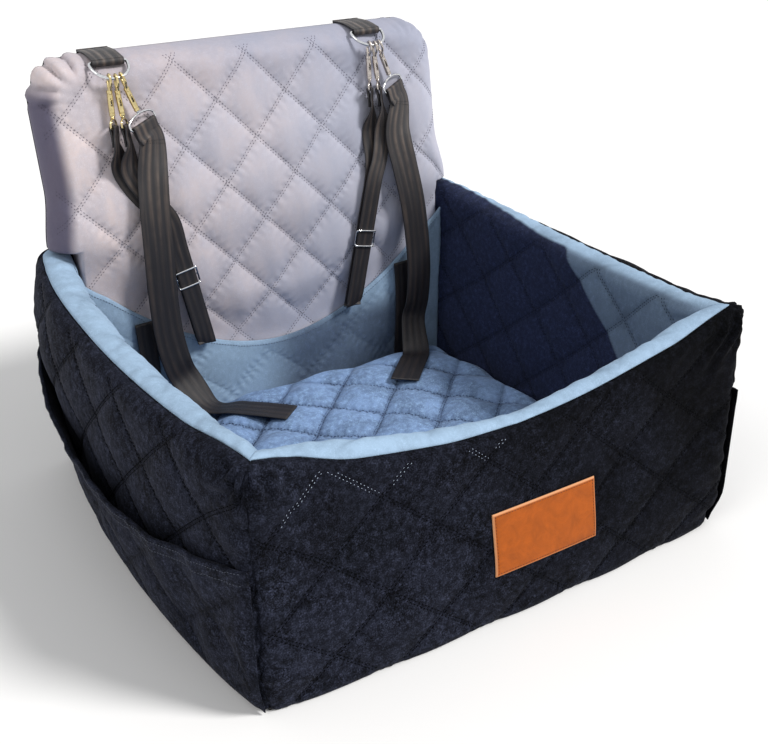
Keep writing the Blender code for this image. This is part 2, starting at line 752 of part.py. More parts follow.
def make_cushion(materials):
    bm = bmesh.new()
    rows = []
    inset = CUSHION_ROUND[-1][0]
    for j in range(CUSHION_CELLS + 1):
        v = 2 * j / CUSHION_CELLS - 1
        row = []
        for i in range(CUSHION_CELLS + 1):
            u = 2 * i / CUSHION_CELLS - 1
            x, y = cushion_plan(u, v, inset)
            inside = min(1.0, 5 * (1 - abs(u)), 5 * (1 - abs(v)))
            z = cushion_crown(x, y) + QUILT_RELIEF * (quilt(x, y) - 0.5) * inside
            row.append(Vector((x, y, z)))
        rows.append(row)
    top = grid_faces(bm, rows)
    last = CUSHION_CELLS
    walk = [(i, 0) for i in range(last)] + [(last, j) for j in range(last)]
    walk += [(last - i, last) for i in range(last)] + [(0, last - j) for j in range(last)]
    upper = [top[j][i] for i, j in walk]
    for grown, share in reversed(CUSHION_ROUND[:-1]):
        lower = []
        for i, j in walk:
            x, y = cushion_plan(2 * i / last - 1, 2 * j / last - 1, grown)
            edge = top[j][i].co.z - (FLOOR_TOP + GAP)
            lower.append(bm.verts.new((x, y, FLOOR_TOP + GAP + edge * share)))
        for k in range(len(walk)):
            n = (k + 1) % len(walk)
            bm.faces.new((upper[k], upper[n], lower[n], lower[k]))
        upper = lower
    bm.faces.new(upper)
    add_object("seat_cushion", closed_mesh(bm, "cushion"), materials["blue"])


# Pockets and label


def make_pockets(materials):
    front, rear = side_ends(0)
    front, rear = front + POCKET_END_INSET, rear - POCKET_END_INSET
    for side, sign in SIDES.items():
        sections = []
        for k in range(STATIONS + 1):
            u = 2 * k / STATIONS - 1
            y = front + (rear - front) * k / STATIONS
            hem = POCKET_HEM_END_HEIGHT - POCKET_HEM_SAG * (1 - u * u)
            heights = [WALL_BASE + (hem - POCKET_HEM_DEPTH - WALL_BASE) * n / 4 for n in range(5)]
            inner, outer = [], []
            for z in [*heights, hem]:
                share = (z - WALL_BASE) / (hem - WALL_BASE)
                gap = GAP + POCKET_OPENING * (1 - u * u) * share**1.3
                skin = side_skin(y, z) + gap
                inner.append(Vector((sign * skin, y, z)))
                outer.append(Vector((sign * (skin + POCKET_THICKNESS), y, z)))
            thick = sign * POCKET_HEM_EXTRA
            band = outer[4] + Vector((thick, 0, 0))
            lip = outer[5] + Vector((thick, 0, 0))
            sections.append(inner + [lip, band] + outer[4::-1])
        pocket = loft(f"{side} pocket", sections)
        add_object(f"{side}_pocket", pocket, materials["navy"])


def make_label(materials):
    sections = []
    half = LABEL_WIDTH / 2
    radius = LABEL_CORNER_RADIUS
    turns = [math.radians(a) for a in (0, 30, 60, 90)]
    corner = [(half - radius * (1 - math.cos(a)), radius * (1 - math.sin(a))) for a in turns]
    stations = [(-along, cut) for along, cut in corner]
    stations += [(half * k / 3, 0.0) for k in (-2, -1, 0, 1, 2)]
    stations += corner[::-1]
    for along, cut in stations:
        x = LABEL_CENTRE_X + along
        low = LABEL_CENTRE_Z - LABEL_HEIGHT / 2 + cut
        high = LABEL_CENTRE_Z + LABEL_HEIGHT / 2 - cut
        levels = [low + (high - low) * n / 2 for n in range(3)]
        inner = [Vector((x, front_skin(x, z) - GAP, z)) for z in levels]
        outer = [point - Vector((0, LABEL_THICKNESS, 0)) for point in reversed(inner)]
        sections.append(inner + outer)
    add_object("label_patch", loft("label", sections), materials["leather"])


# Tabs, rings and snap hooks


def ring_frame(side):
    """The middle of a ring's bar, the direction in which the ring hangs, and its round radius."""
    radius = TAB_WIDTH / 2 + RING_SIDE_CLEARANCE + RING_WIRE / 2
    reach = radius + RING_LEG
    low_z = BACKREST_TOP - RING_LOW_DROP
    centre_x = SIDES[side] * TAB_SPACING / 2 + TAB_SHIFT
    face = face_y(centre_x, SNAP_FACE_HEIGHT) + BACKREST_LEAN * (low_z - SNAP_FACE_HEIGHT)
    low_y = face - (SNAP_STANDOFF + SNAP_BEND_RADIUS) / math.cos(HANG)
    hang = Vector((0, -math.sin(RING_TILT), -math.cos(RING_TILT)))
    bar = Vector((centre_x, low_y, low_z)) - hang * reach
    return bar, hang, radius


def ring_point(side, angle):
    """A point on the round part of a ring, at an angle from its lowest point."""
    bar, hang, radius = ring_frame(side)
    return bar + hang * (RING_LEG + radius * math.cos(angle)) + Vector((radius * math.sin(angle), 0, 0))


def make_ring(side, materials):
    bar, hang, radius = ring_frame(side)
    path = [ring_point(side, math.radians(a)) for a in range(-90, 91, 15)]
    corner = RING_WIRE * 0.8
    right = Vector((1, 0, 0))
    path += [bar + right * radius + hang * corner, bar + right * (radius - corner)]
    path += [bar - right * (radius - corner), bar - right * radius + hang * corner]
    across = hang.cross(right)
    mesh = swept_rod(f"{side} ring", [point - bar for point in path], RING_WIRE, 8, True, across)
    add_object(f"{side}_tab_ring", mesh, materials["chrome"], Matrix.Translation(bar))


def make_tab(side, materials):
    bar, hang, _ = ring_frame(side)
    wrap = RING_WIRE / 2 + 3 * GAP + WEBBING_THICKNESS / 2
    over = 2 * GAP + WEBBING_THICKNESS / 2
    edge = TONGUE_BACK + backrest_lean(BACKREST_TOP)
    low = BACKREST_TOP - TAB_TAIL
    points = [(TONGUE_BACK + backrest_lean(low) + over, low, 0)]
    for angle in (0, 45, 90):
        a = math.radians(angle)
        points.append((edge + over * math.cos(a), BACKREST_TOP + over * math.sin(a), angle))
    points.append(((edge + bar.y) / 2, BACKREST_TOP + over + GAP, 90))
    for angle in range(90, 271, 30):
        a = math.radians(angle)
        points.append((bar.y + wrap * math.cos(a), bar.z + wrap * math.sin(a), angle))
    points.append((bar.y + TAB_UNDERLAP, bar.z - wrap + TAB_TAIL_RISE, 285))
    path = [Vector((bar.x, y, z)) for y, z, _ in points]
    faces = [Vector((0, math.cos(math.radians(a)), math.sin(math.radians(a)))) for _, _, a in points]
    mesh = webbing(f"{side} tab", path, faces, [TAB_WIDTH] * len(path))
    add_object(f"{side}_ring_tab", mesh, materials["black"])


def snap_place(side, index):
    """The frame of a snap: its origin on the barrel's axis at the barrel's top, Z along the snap."""
    _, _, radius = ring_frame(side)
    angle = math.asin((index - 1) * SNAP_PITCH / radius)
    lean = Matrix.Rotation(-HANG, 4, "X") @ Matrix.Rotation(-SNAP_LEANS[index], 4, "Y")
    return Matrix.Translation(ring_point(side, angle)) @ lean @ Matrix.Translation(
        (0, SNAP_BEND_RADIUS, -WIRE_HEIGHT)
    )


def snap_body_mesh():
    radius, bore, hole = BARREL_DIAMETER / 2, BORE_DIAMETER / 2, POST_DIAMETER / 2 + GAP
    low, floor = -BARREL_LENGTH, BARREL_FLOOR - BARREL_LENGTH
    tube = [(hole, low), (radius - RIM_CHAMFER, low), (radius, low + RIM_CHAMFER)]
    tube += [(radius, -RIM_CHAMFER), (radius - RIM_CHAMFER, 0), (bore, 0), (bore, floor), (hole, floor)]
    barrel = lathe("barrel", tube, 16)
    bend = SNAP_BEND_RADIUS
    rise = [Vector((0, -back * bend, share * BEND_HEIGHT)) for back, share in SNAP_SHANK]
    path = smooth_path(rise, 2)
    for step in range(1, 7):
        angle = math.pi - step * math.pi / 6
        y, z = bend * (math.cos(angle) - 1), BEND_HEIGHT + bend * math.sin(angle)
        path.append(Vector((0, y, z)))
    path.append(Vector((0, 0, MOUTH_HEIGHT)))
    rod = swept_rod("hook", path, SNAP_ROD, 8)
    clear = bore + RIM_CHAMFER / 2
    way = [(0, low), (clear, low), (clear, MOUTH_HEIGHT - SNAP_SEAT_GAP)]
    way.append((0, MOUTH_HEIGHT - SNAP_SEAT_GAP))
    hook = combine("hook", rod, (), (lathe("bolt's way", way, 16),))
    half = STUD_DIAMETER / 2 + GAP
    deep = (-half, -BARREL_DIAMETER, -STUD_DEPTH - BOLT_TRAVEL - half)
    slot = box_mesh("slot", deep, (half, 0, -STUD_DEPTH + half))
    return combine("snap body", barrel, (hook,), (slot,))


def bolt_mesh():
    radius, tip = BOLT_DIAMETER / 2, MOUTH_HEIGHT - GAP
    profile = [(0, -BOLT_INSIDE), (radius, -BOLT_INSIDE), (radius, tip - BOLT_CHAMFER)]
    profile += [(radius - BOLT_CHAMFER, tip), (0, tip)]
    stem = lathe("bolt", profile, 12)
    ends = [Vector((0, -y, -STUD_DEPTH)) for y in (STUD_CHAMFER, STUD_REACH / 2, STUD_REACH)]
    stud = swept_rod("stud", ends, STUD_DIAMETER, 8)
    return combine("snap bolt", stem, (stud,))


def spring_mesh():
    low = BARREL_FLOOR - BARREL_LENGTH + 2 * GAP + POST_HEAD_HEIGHT + SPRING_WIRE / 2 + GAP
    high = -BOLT_INSIDE - SPRING_WIRE / 2 - GAP
    radius = BORE_DIAMETER / 2 - GAP - SPRING_WIRE / 2
    steps = SPRING_TURNS * 8
    sections = []
    for k in range(steps + 1):
        angle = 2 * math.pi * SPRING_TURNS * k / steps
        out = Vector((math.cos(angle), math.sin(angle), 0))
        centre = out * radius + Vector((0, 0, low + (high - low) * k / steps))
        up = Vector((0, 0, 1))
        turn = [2 * math.pi * n / 3 for n in range(3)]
        sections.append([centre + SPRING_WIRE / 2 * (math.cos(a) * out + math.sin(a) * up) for a in turn])
    return loft("snap spring", sections)


def eye_bar(index):
    """The middle of the eye's straight bar, the way the bar runs, and the way its face looks."""
    turn = EYE_TURNS[index]
    run = Vector((math.cos(turn), math.sin(turn), 0))
    front = Vector((math.sin(turn), -math.cos(turn), 0))
    drop = BARREL_LENGTH + EYE_DROP + EYE_HEIGHTS[index]
    return Vector((0, 0, -drop)), run, front


def eye_mesh(index):
    middle, run, front = eye_bar(index)
    width = TETHER_WIDTH if index == 2 else BUNCHED_WIDTH
    half = width / 2 + EYE_SIDE_CLEARANCE + EYE_ROD / 2
    height = EYE_HEIGHTS[index]
    up = Vector((0, 0, 1))
    corner = EYE_ROD * 0.8
    shoulder = height * EYE_SHOULDER
    path = []
    for step in range(9):
        angle = math.pi * step / 8
        across, rise = math.cos(angle), math.sin(angle)
        path.append(middle + run * half * across + up * (shoulder + (height - shoulder) * rise))
    path += [middle - run * half + up * corner, middle - run * (half - corner)]
    path += [middle + run * (half - corner), middle + run * half + up * corner]
    loop = swept_rod("eye loop", path, EYE_ROD, 6, True, front)
    head_low = BARREL_FLOOR + GAP - BARREL_LENGTH
    post_radius, head_radius = POST_DIAMETER / 2, POST_HEAD_DIAMETER / 2
    low = middle.z + height
    profile = [(0, low), (post_radius, low), (post_radius, head_low), (head_radius, head_low)]
    profile += [(head_radius, head_low + POST_HEAD_HEIGHT), (0, head_low + POST_HEAD_HEIGHT)]
    post = lathe("post", profile, 12)
    knuckle_top = -BARREL_LENGTH - GAP
    narrow, wide = KNUCKLE_DIAMETERS[0] / 2, KNUCKLE_DIAMETERS[1] / 2
    knuckle = lathe("knuckle", [(0, low), (narrow, low), (wide, knuckle_top), (0, knuckle_top)], 10)
    return combine("snap eye", loop, (post, knuckle))


def make_snaps(side, materials):
    for index in range(3):
        place = snap_place(side, index)
        name = f"{side}_snap_{index + 1}"
        plating = materials["gold"] if side == "left" else materials["nickel"]
        add_object(f"{name}_body", snap_body_mesh(), plating, place)
        add_object(f"{name}_bolt", bolt_mesh(), plating, place)
        add_object(f"{name}_spring", spring_mesh(), materials["steel"], place)
        finish = materials["chrome"] if index == 2 else plating
        add_object(f"{name}_eye", eye_mesh(index), finish, place)


# Straps


def strap_head(side, index, thickness):
    """The end of a strap that comes up behind a snap's eye, goes over its bar and down in front."""
    place = snap_place(side, index)
    middle, _, front = eye_bar(index)
    up = Vector((0, 0, 1))
    wrap = EYE_ROD / 2 + GAP + thickness / 2
    pressed = thickness / 2 + GAP
    points = [middle - up * HEAD_TAIL - front * pressed, middle - up * HEAD_TAIL / 2 - front * pressed]
    faces = [-front, -front]
    for angle in (180, 140, 90, 40, 0):
        a = math.radians(angle)
        out = front * math.cos(a) + up * math.sin(a)
        points.append(middle + out * wrap)
        faces.append(out)
    points += [middle - up * HEAD_TAIL / 2 + front * pressed, middle - up * HEAD_TAIL + front * pressed]
    faces += [front, front]
    turn = place.to_3x3()
    return [place @ point for point in points], [turn @ face for face in faces]


def hang_point(x, z, standoff):
    """A point in front of the padded face, or of the lining below it."""
    return Vector((x, min(face_y(x, max(z, STRAP_FACE_LOW)), face_y(0, z)) - standoff, z))


def make_tether(side, materials):
    """The wide strap from the third snap, down the face and along the cushion."""
    points, faces = strap_head(side, 2, WEBBING_THICKNESS)
    for x, z in TETHER_FALL[side]:
        points.append(hang_point(x, z, TETHER_STANDOFF))
        faces.append(Vector((0, -1, 0)))
    for x, y in TETHER_LIE[side]:
        points.append(Vector((x, y, cushion_crown(x, y) + TETHER_REST)))
        faces.append(cushion_normal(x, y))
    faces[-len(TETHER_LIE[side]) - 1] = Vector((0, -0.85, 0.3))
    path, faces = smooth_path(points, 3), smooth_path(faces, 3)
    mesh = webbing(f"{side} tether", path, faces, [TETHER_WIDTH] * len(path))
    add_object(f"{side}_tether_strap", mesh, materials["black"])


def cushion_normal(x, y):
    """The way the cushion's crown faces."""
    step = 0.005
    slope_x = (cushion_crown(x + step, y) - cushion_crown(x - step, y)) / (2 * step)
    slope_y = (cushion_crown(x, y + step) - cushion_crown(x, y - step)) / (2 * step)
    return Vector((-slope_x, -slope_y, 1)).normalized()


def leash_line(side, z, standoff):
    """A point of the straight part of the leash, which slants to the middle of the seat."""
    (x0, z0), (x1, z1) = LEASH_STRAIGHT[side]
    x = x0 + (x1 - x0) * (z0 - z) / (z0 - z1)
    return Vector((x, STRAP_DEPTH - standoff, z))


def make_leash(side, materials):
    """The narrower strap: from the second snap down through its slider, and back to the first."""
    down, down_faces = strap_head(side, 1, BUNCHED_THICKNESS)
    up, up_faces = strap_head(side, 0, BUNCHED_THICKNESS)
    (x0, z0), (x1, z1) = LEASH_STRAIGHT[side]
    count = len(down)
    first = [hang_point(x, z, LEASH_STANDOFF) for x, z in LEASH_FALL[side]]
    straight = [leash_line(side, z0 + (z1 - z0) * k / 4, LEASH_STANDOFF) for k in range(5)]
    behind = [leash_line(side, z1 + (z0 - z1) * k / 4, LEASH_BACK_STANDOFF) for k in range(5)]
    low = straight[-1] + (straight[-1] - straight[-2]) * 0.45
    low.y = (straight[-1].y + behind[0].y) / 2
    second = [hang_point(x, z, LEASH_BACK_STANDOFF) for x, z in reversed(LEASH_RETURN[side])]
    points = down + first + straight + [low] + behind + second + up[::-1]
    front, back = Vector((0, -1, 0)), Vector((0, 1, 0))
    faces = down_faces + [front] * (len(first) + 5) + [Vector((0, 0, -1))]
    faces += [back] * (5 + len(second)) + [-face for face in up_faces[::-1]]
    path, faces = smooth_path(points, 2), smooth_path(faces, 2)
    total = sum((b - a).length for a, b in zip(path, path[1:]))
    widths, thicknesses = [], []
    gone = 0.0
    for k, point in enumerate(path):
        gone += (point - path[k - 1]).length if k else 0.0
        spread = smoothstep((min(gone, total - gone) - BUNCHED_LENGTH) / BUNCHED_LENGTH)
        widths.append(BUNCHED_WIDTH + (LEASH_WIDTH - BUNCHED_WIDTH) * spread)
        thicknesses.append(BUNCHED_THICKNESS + (WEBBING_THICKNESS - BUNCHED_THICKNESS) * spread)
    mesh = webbing(f"{side} leash", path, faces, widths, thicknesses)
    add_object(f"{side}_leash_strap", mesh, materials["black"])


def make_slider(side, materials):
    """A three-bar slider. Its outer bars lie in front of the strap and its middle bar behind."""
    (x0, z0), (x1, z1) = LEASH_STRAIGHT[side]
    middle = leash_line(side, (z0 + z1) / 2, LEASH_STANDOFF)
    bow = GLIDE_ROD / 2 + GAP + WEBBING_THICKNESS / 2
    half = LEASH_WIDTH / 2 + EYE_SIDE_CLEARANCE + GLIDE_ROD / 2
    high = GLIDE_HEIGHT / 2
    corner = GLIDE_ROD * 1.2
    loop = []
    for sx, sz in ((1, 1), (-1, 1), (-1, -1), (1, -1)):
        near = Vector((sx * half, 0, sz * (high - corner)))
        bend = Vector((sx * (half - corner * 0.3), -bow * 0.6, sz * (high - corner * 0.3)))
        along = Vector((sx * (half - corner), -bow, sz * high))
        loop += [near, bend, along] if sx * sz > 0 else [along, bend, near]
    frame = swept_rod("slider frame", loop, GLIDE_ROD, 6, True, Vector((0, 1, 0)))
    turn = corner * 0.35
    bar = [Vector((-half, 0, 0)), Vector((-half + turn, bow, 0)), Vector((half - turn, bow, 0))]
    bar.append(Vector((half, 0, 0)))
    middle_bar = swept_rod("middle bar", bar, GLIDE_ROD * 0.9, 6, False, Vector((0, 0, 1)))
    mesh = combine("slider", frame, (middle_bar,))
    slant = math.atan2(x1 - x0, z0 - z1)
    place = Matrix.Translation(middle) @ Matrix.Rotation(-slant, 4, "Y")
    add_object(f"{side}_leash_slider", mesh, materials["chrome"], place)


def make_anchor(side, materials):
    """The strap sewn to the rear lining, which runs down behind the cushion."""
    x = SIDES[side] * (HALF_WIDTH - WALL_THICKNESS - ANCHOR_INSET)
    y = REAR_LINING_FRONT - GAP - WEBBING_THICKNESS / 2
    top = rear_lining_edge(abs(x) - ANCHOR_WIDTH / 2) - GAP
    path = [Vector((x, y, z)) for z in (top, (top + ANCHOR_LOW) / 2, ANCHOR_LOW)]
    mesh = webbing(f"{side} anchor", path, [Vector((0, -1, 0))] * 3, [ANCHOR_WIDTH] * 3)
    add_object(f"{side}_anchor_strap", mesh, materials["black"])


clear_scene()
palette = make_materials()
make_base(palette)
make_walls(palette)
make_rear_wall(palette)
make_backrest(palette)
make_cushion(palette)
make_pockets(palette)
make_label(palette)
for name in SIDES:
    make_ring(name, palette)
    make_tab(name, palette)
    make_snaps(name, palette)
    make_tether(name, palette)
    make_leash(name, palette)
    make_slider(name, palette)
    make_anchor(name, palette)
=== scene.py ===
"""Looks of a quilted dog car seat: velvets, quilting marks, webbing, plated snap hooks, and a plain
studio. It is laid out as an add-on and run as a script. Metres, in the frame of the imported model."""

from functools import cache
from math import asin, atan, atan2, cos, hypot, pi, radians, sin, sqrt

import bmesh
import bpy
import numpy as np
from mathutils import Matrix, Vector


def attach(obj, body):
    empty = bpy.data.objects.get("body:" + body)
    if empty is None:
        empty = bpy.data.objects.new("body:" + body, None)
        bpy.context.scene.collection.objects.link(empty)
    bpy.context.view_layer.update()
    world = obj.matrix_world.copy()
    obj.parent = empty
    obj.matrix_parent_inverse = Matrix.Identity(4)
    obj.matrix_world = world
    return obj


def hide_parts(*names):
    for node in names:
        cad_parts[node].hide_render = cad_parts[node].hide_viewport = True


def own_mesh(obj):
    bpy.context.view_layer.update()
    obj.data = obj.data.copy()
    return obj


bl_info = {
    "name": "Dog car seat",
    "version": (1, 0, 0),
    "blender": (4, 5, 0),
    "location": "3D View > Sidebar > Dog Seat",
    "description": "Builds the fabric, webbing, plating and studio of a quilted dog car seat",
    "category": "Object",
}

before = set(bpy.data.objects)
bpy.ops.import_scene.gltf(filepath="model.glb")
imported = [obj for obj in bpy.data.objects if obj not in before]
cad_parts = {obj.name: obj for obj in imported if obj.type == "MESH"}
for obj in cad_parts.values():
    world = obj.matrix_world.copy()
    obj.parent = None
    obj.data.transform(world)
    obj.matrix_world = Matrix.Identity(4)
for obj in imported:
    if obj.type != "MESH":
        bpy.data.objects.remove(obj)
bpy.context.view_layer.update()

RIGHT, FORWARD, UP = Vector((1, 0, 0)), Vector((0, -1, 0)), Vector((0, 0, 1))

# Fit and box, as in the part's source
GAP = 0.0003
SLIDE_CLEARANCE = 0.0006
FIT_SIDE = 0.0008
HALF_WIDTH = 0.300
HALF_DEPTH = 0.293
FRONT_CORNER_HEIGHT = 0.281
REAR_CORNER_HEIGHT = 0.297
FRONT_DIP = 0.050
SIDE_DIP = 0.014
SIDE_BULGE = 0.030
INNER_BOW = 0.5
FRONT_BULGE = 0.008
WALL_THICKNESS = 0.038
COVER_THICKNESS = 0.005
RIM_RADIUS = WALL_THICKNESS / 2
WALL_BASE = 0.0033
LINING_BASE = 0.0086
FLOOR_TOP = 0.0106
CORNER_ROUND = 0.016

# Rear lining and backrest
TONGUE_BACK = HALF_DEPTH - COVER_THICKNESS - SLIDE_CLEARANCE
BACKREST_THICKNESS = 0.042
REAR_LINING_BACK = TONGUE_BACK - BACKREST_THICKNESS - SLIDE_CLEARANCE
REAR_LINING_FRONT = REAR_LINING_BACK - 0.004
REAR_LINING_MIDDLE = 0.120
REAR_LINING_RISE = 0.141
BACKREST_WIDTH = 0.585
BACKREST_TOP = 0.522
BACKREST_PUFF = 0.006
BACKREST_LEAN = 0.17
LEAN_START = 0.050
BACKREST_CORNER = 0.052
ROLL_WIDTH = 0.045
EDGE_DEPTH = 0.014
FREE_START = 0.034
FREE_LENGTH = 0.050
BACK_COVER = 0.004
TONGUE_HALF_WIDTH = 0.2525
SHOULDER = 0.300
BACKREST_NARROWING = {"left": 0.009, "right": 0.014}

# Gathers round the backrest's upper corners
GATHER_CENTRE = (0.222, 0.470)
GATHER_TURNS = 7.6
GATHERING = {"left": 1.0, "right": 0.4}

# Quilting: width and height of a diamond, and a place across and up where two seams cross
BACKREST_QUILT = (0.098, 0.104, -0.0138, 0.4047)
FRONT_QUILT = (0.122, 0.104, -0.040, 0.199)
SIDE_QUILT = (0.122, 0.104, 0.020, 0.199)
REAR_QUILT = (0.122, 0.104, 0.0, 0.200)
LINING_QUILT = (0.122, 0.104, -0.020, 0.210)
CUSHION_QUILT = (0.101, 0.106, 0.0, 0.0)
QUILT_HEIGHT = 0.106
CLOTH_BASE = 0.0012

# Grids of the walls' cloth. A sheet's hidden side keeps one row and column in COARSE
WALL_COLUMNS, WALL_ROWS = 240, 100
CLOTH_THICKNESS = 0.0028
COARSE = 4

# Slack of the box's cloth: rims bow out, corners are full, the front leans back at its top
RIM_BOW = 0.009
REAR_PUFF = 0.019
FRONT_LEAN = 0.008
CORNER_FULL = {"left": 0.005, "right": 0.008}
CORNER_RISE = {"left": -0.006, "right": 0.006}
CORNER_TUCK = 0.0025
SEAM_ANGLES = {
    "front": ((-1.0, 4), (-0.62, 56), (-0.33, 54), (0.0, 38), (0.33, 43), (0.7, 40), (1.0, 16)),
    "left": ((-1.0, 4), (-0.6, 26), (0.2, 34), (1.0, 40)),
    "right": ((-1.0, 4), (-0.5, 7), (0.0, 16), (0.6, 50), (1.0, 58)),
}

# Pockets: height and dip of the hem, depth of the stitched band under it, half length
POCKET_HEM = 0.178
POCKET_DIP = 0.046
POCKET_BAND = 0.017
POCKET_HALF = 0.28

# Label
LABEL_CENTRE = (0.031, 0.101)
LABEL_SIZE = (0.136, 0.071)
LABEL_THICKNESS = 0.0022
LABEL_SEAM = 0.0032

# Cushion
CUSHION_FRONT = -0.251
CUSHION_REAR = 0.2338
CUSHION_SIDE_GAP = 0.004
CUSHION_EDGE = 0.048
CUSHION_CROWN = 0.016
CUSHION_CORNER = 0.05
CUSHION_SCALLOP = 0.003
CUSHION_ROUND = ((0.008, 0.0), (0.0, 0.35), (0.004, 0.62), (0.013, 0.88), (0.027, 1.0))

# Studio: the floor, and the view as turns in degrees, its focal length and width in pixels, and its place
FLOOR_REACH = 12.0
FLOOR_LEVEL = -0.0005
VIEW_TURNS = (31.53, -26.57, -0.948)
VIEW_FOCAL = 1101.6
VIEW_WIDTH = 768
VIEW_PLACE = (-0.6145, -1.0323, 0.7659)

SIDES = {"left": -1, "right": 1}


def linear(code):
    """Linear red, green and blue of a colour written as six hexadecimal digits."""
    parts = [int(code[k : k + 2], 16) / 255 for k in (0, 2, 4)]
    return tuple(p / 12.92 if p <= 0.04045 else ((p + 0.055) / 1.055) ** 2.4 for p in parts)


def colour_property(name, description, code):
    """A colour that the user can change."""
    return bpy.props.FloatVectorProperty(
        name=name, description=description, subtype="COLOR", size=3, default=linear(code))


def length_property(name, description, default, low, high):
    """A length that the user can change."""
    return bpy.props.FloatProperty(
        name=name, description=description, default=default, min=low, max=high, unit="LENGTH")


class SeatColours(bpy.types.PropertyGroup):
    """Colours of the seat's fabrics, webbing, leather and plating."""

    navy: colour_property("Navy velvet", "Outer cover and pockets", "11131b")
    blue: colour_property("Light blue velvet", "Rim and upper lining", "9ab4ce")
    # Painted shade: this tone stands in for the shade that falls on the lower inside of the linings.
    lining_shade: colour_property("Deep lining", "Lower part of the lining", "222a46")
    lilac: colour_property("Lilac grey velvet", "Front of the backrest", "c2bdc4")
    cushion: colour_property("Cushion velvet", "Seat cushion", "809cc8")
    webbing: colour_property("Webbing", "Straps and tabs", "17161c")
    leather: colour_property("Leather", "Label on the front", "a24e04")
    gold: colour_property("Gold plating", "Snaps of the left set", "e6d39c")
    nickel: colour_property("Nickel plating", "Snaps of the right set", "cfc6bf")


class SeatQuilting(bpy.types.PropertyGroup):
    """Sizes of the quilting and of its pressed marks."""

    relief: length_property("Relief", "Height of a diamond over its seams", 0.0040, 0.0, 0.01)
    mark_pitch: length_property("Mark pitch", "Distance between pressed marks in a row", 0.0046, 0.002, 0.02)
    mark_length: length_property("Mark length", "Length of a pressed mark", 0.0026, 0.0005, 0.01)
    mark_width: length_property("Mark width", "Width of a pressed mark", 0.0009, 0.0002, 0.005)
    row_space: length_property("Row spacing", "Distance between the two rows of marks", 0.0034, 0.0, 0.01)


class SeatStudio(bpy.types.PropertyGroup):
    """Light and floor around the seat."""

    floor_colour: bpy.props.FloatVectorProperty(
        name="Floor", description="Colour of the floor", subtype="COLOR", size=3,
        default=(0.93, 0.93, 0.935))
    sky: bpy.props.FloatProperty(
        name="Sky", description="Strength of the even light all round", default=0.50, min=0.0)
    key: bpy.props.FloatProperty(
        name="Key", description="Strength of the main lamp", default=2.65, min=0.0)


# Small tools


def hump(value, width):
    """1 where the value is 0, and fading away on both sides."""
    return np.exp(-((value / width) ** 2))


def stacked(*parts):
    """Grids of numbers as one grid of places."""
    return np.stack(np.broadcast_arrays(*parts), -1)


def unit_grid(columns, rows, low=0.0):
    """Places across from -1 to 1, and up from low to 1."""
    return np.meshgrid(np.linspace(-1, 1, columns + 1), np.linspace(low, 1, rows + 1), indexing="ij")


def coarse(grid):
    """The rows and columns that a sheet's hidden side keeps."""
    return grid[::COARSE, ::COARSE]


def waves(x, y, seed, size, count=9, stretch=1.0):
    """A smooth irregular surface from -1 to 1, with features of about a size."""
    rng = np.random.default_rng(seed)
    total = np.zeros(np.shape(x))
    for _ in range(count):
        turn = rng.uniform(0, 2 * pi)
        length = size * rng.uniform(0.7, 1.6)
        phase = rng.uniform(0, 2 * pi)
        kx = 2 * pi * cos(turn) / length
        ky = 2 * pi * sin(turn) / (length * stretch)
        total = total + np.sin(kx * x + ky * y + phase)
    return total / sqrt(count * 2)


def ease(value):
    t = np.clip(value, 0.0, 1.0)
    return t * t * (3 - 2 * t)


def belly(share):
    middle = 0.45
    low = 1 - 0.15 * (np.maximum(middle - share, 0) / middle) ** 2
    high = 1 - 0.35 * (np.maximum(share - middle, 0) / (1 - middle)) ** 2
    return np.where(share < middle, low, high)


def front_rim(u):
    return FRONT_CORNER_HEIGHT - FRONT_DIP * (1 - np.abs(u) ** 1.4)


def side_rim(u):
    rise = (REAR_CORNER_HEIGHT - FRONT_CORNER_HEIGHT) * (u + 1) / 2
    return FRONT_CORNER_HEIGHT + rise - SIDE_DIP * (1 - u * u)


def quilt(a, b, pattern):
    """0 along the diagonal seams and 1 in the middle of each diamond."""
    wide, high, across, up = pattern
    p = (a - across) / wide + (b - up) / high
    q = (a - across) / wide - (b - up) / high
    return np.sqrt(np.abs(np.sin(pi * p) * np.sin(pi * q)))


def seam_shade_mask(a, b, pattern):
    """1 along the diagonal seams, and 0 a little away from them: how strongly painted shade darkens the cloth
    along its seams.
    """
    return np.clip(1 - 2.1 * quilt(a, b, pattern), 0, 1)


def puckers(a, b, seed, pattern):
    """Short ridges that cross each seam and fade away from it."""
    wide, high, across, up = pattern
    steep = hypot(1 / wide, 1 / high)
    total = np.zeros(np.shape(a))
    for sign in (1, -1):
        p = (a - across) / wide + sign * (b - up) / high
        away = np.abs(p - np.round(p)) / steep
        along = (a / high - sign * b / wide) / steep
        ridge = np.cos(2 * pi * along / 0.0112 + 2.2 * waves(a, b, seed, 0.06))
        total = total + ridge * np.exp(-((away / 0.009) ** 2)) * (1 - np.exp(-((away / 0.0018) ** 2)))
    return total


def through(value, knots):
    """A smooth value between knots of (place, value)."""
    total = np.full(np.shape(value), float(knots[0][1]))
    for (a, low), (b, high) in zip(knots, knots[1:]):
        total = total + (high - low) * ease((value - a) / (b - a))
    return total


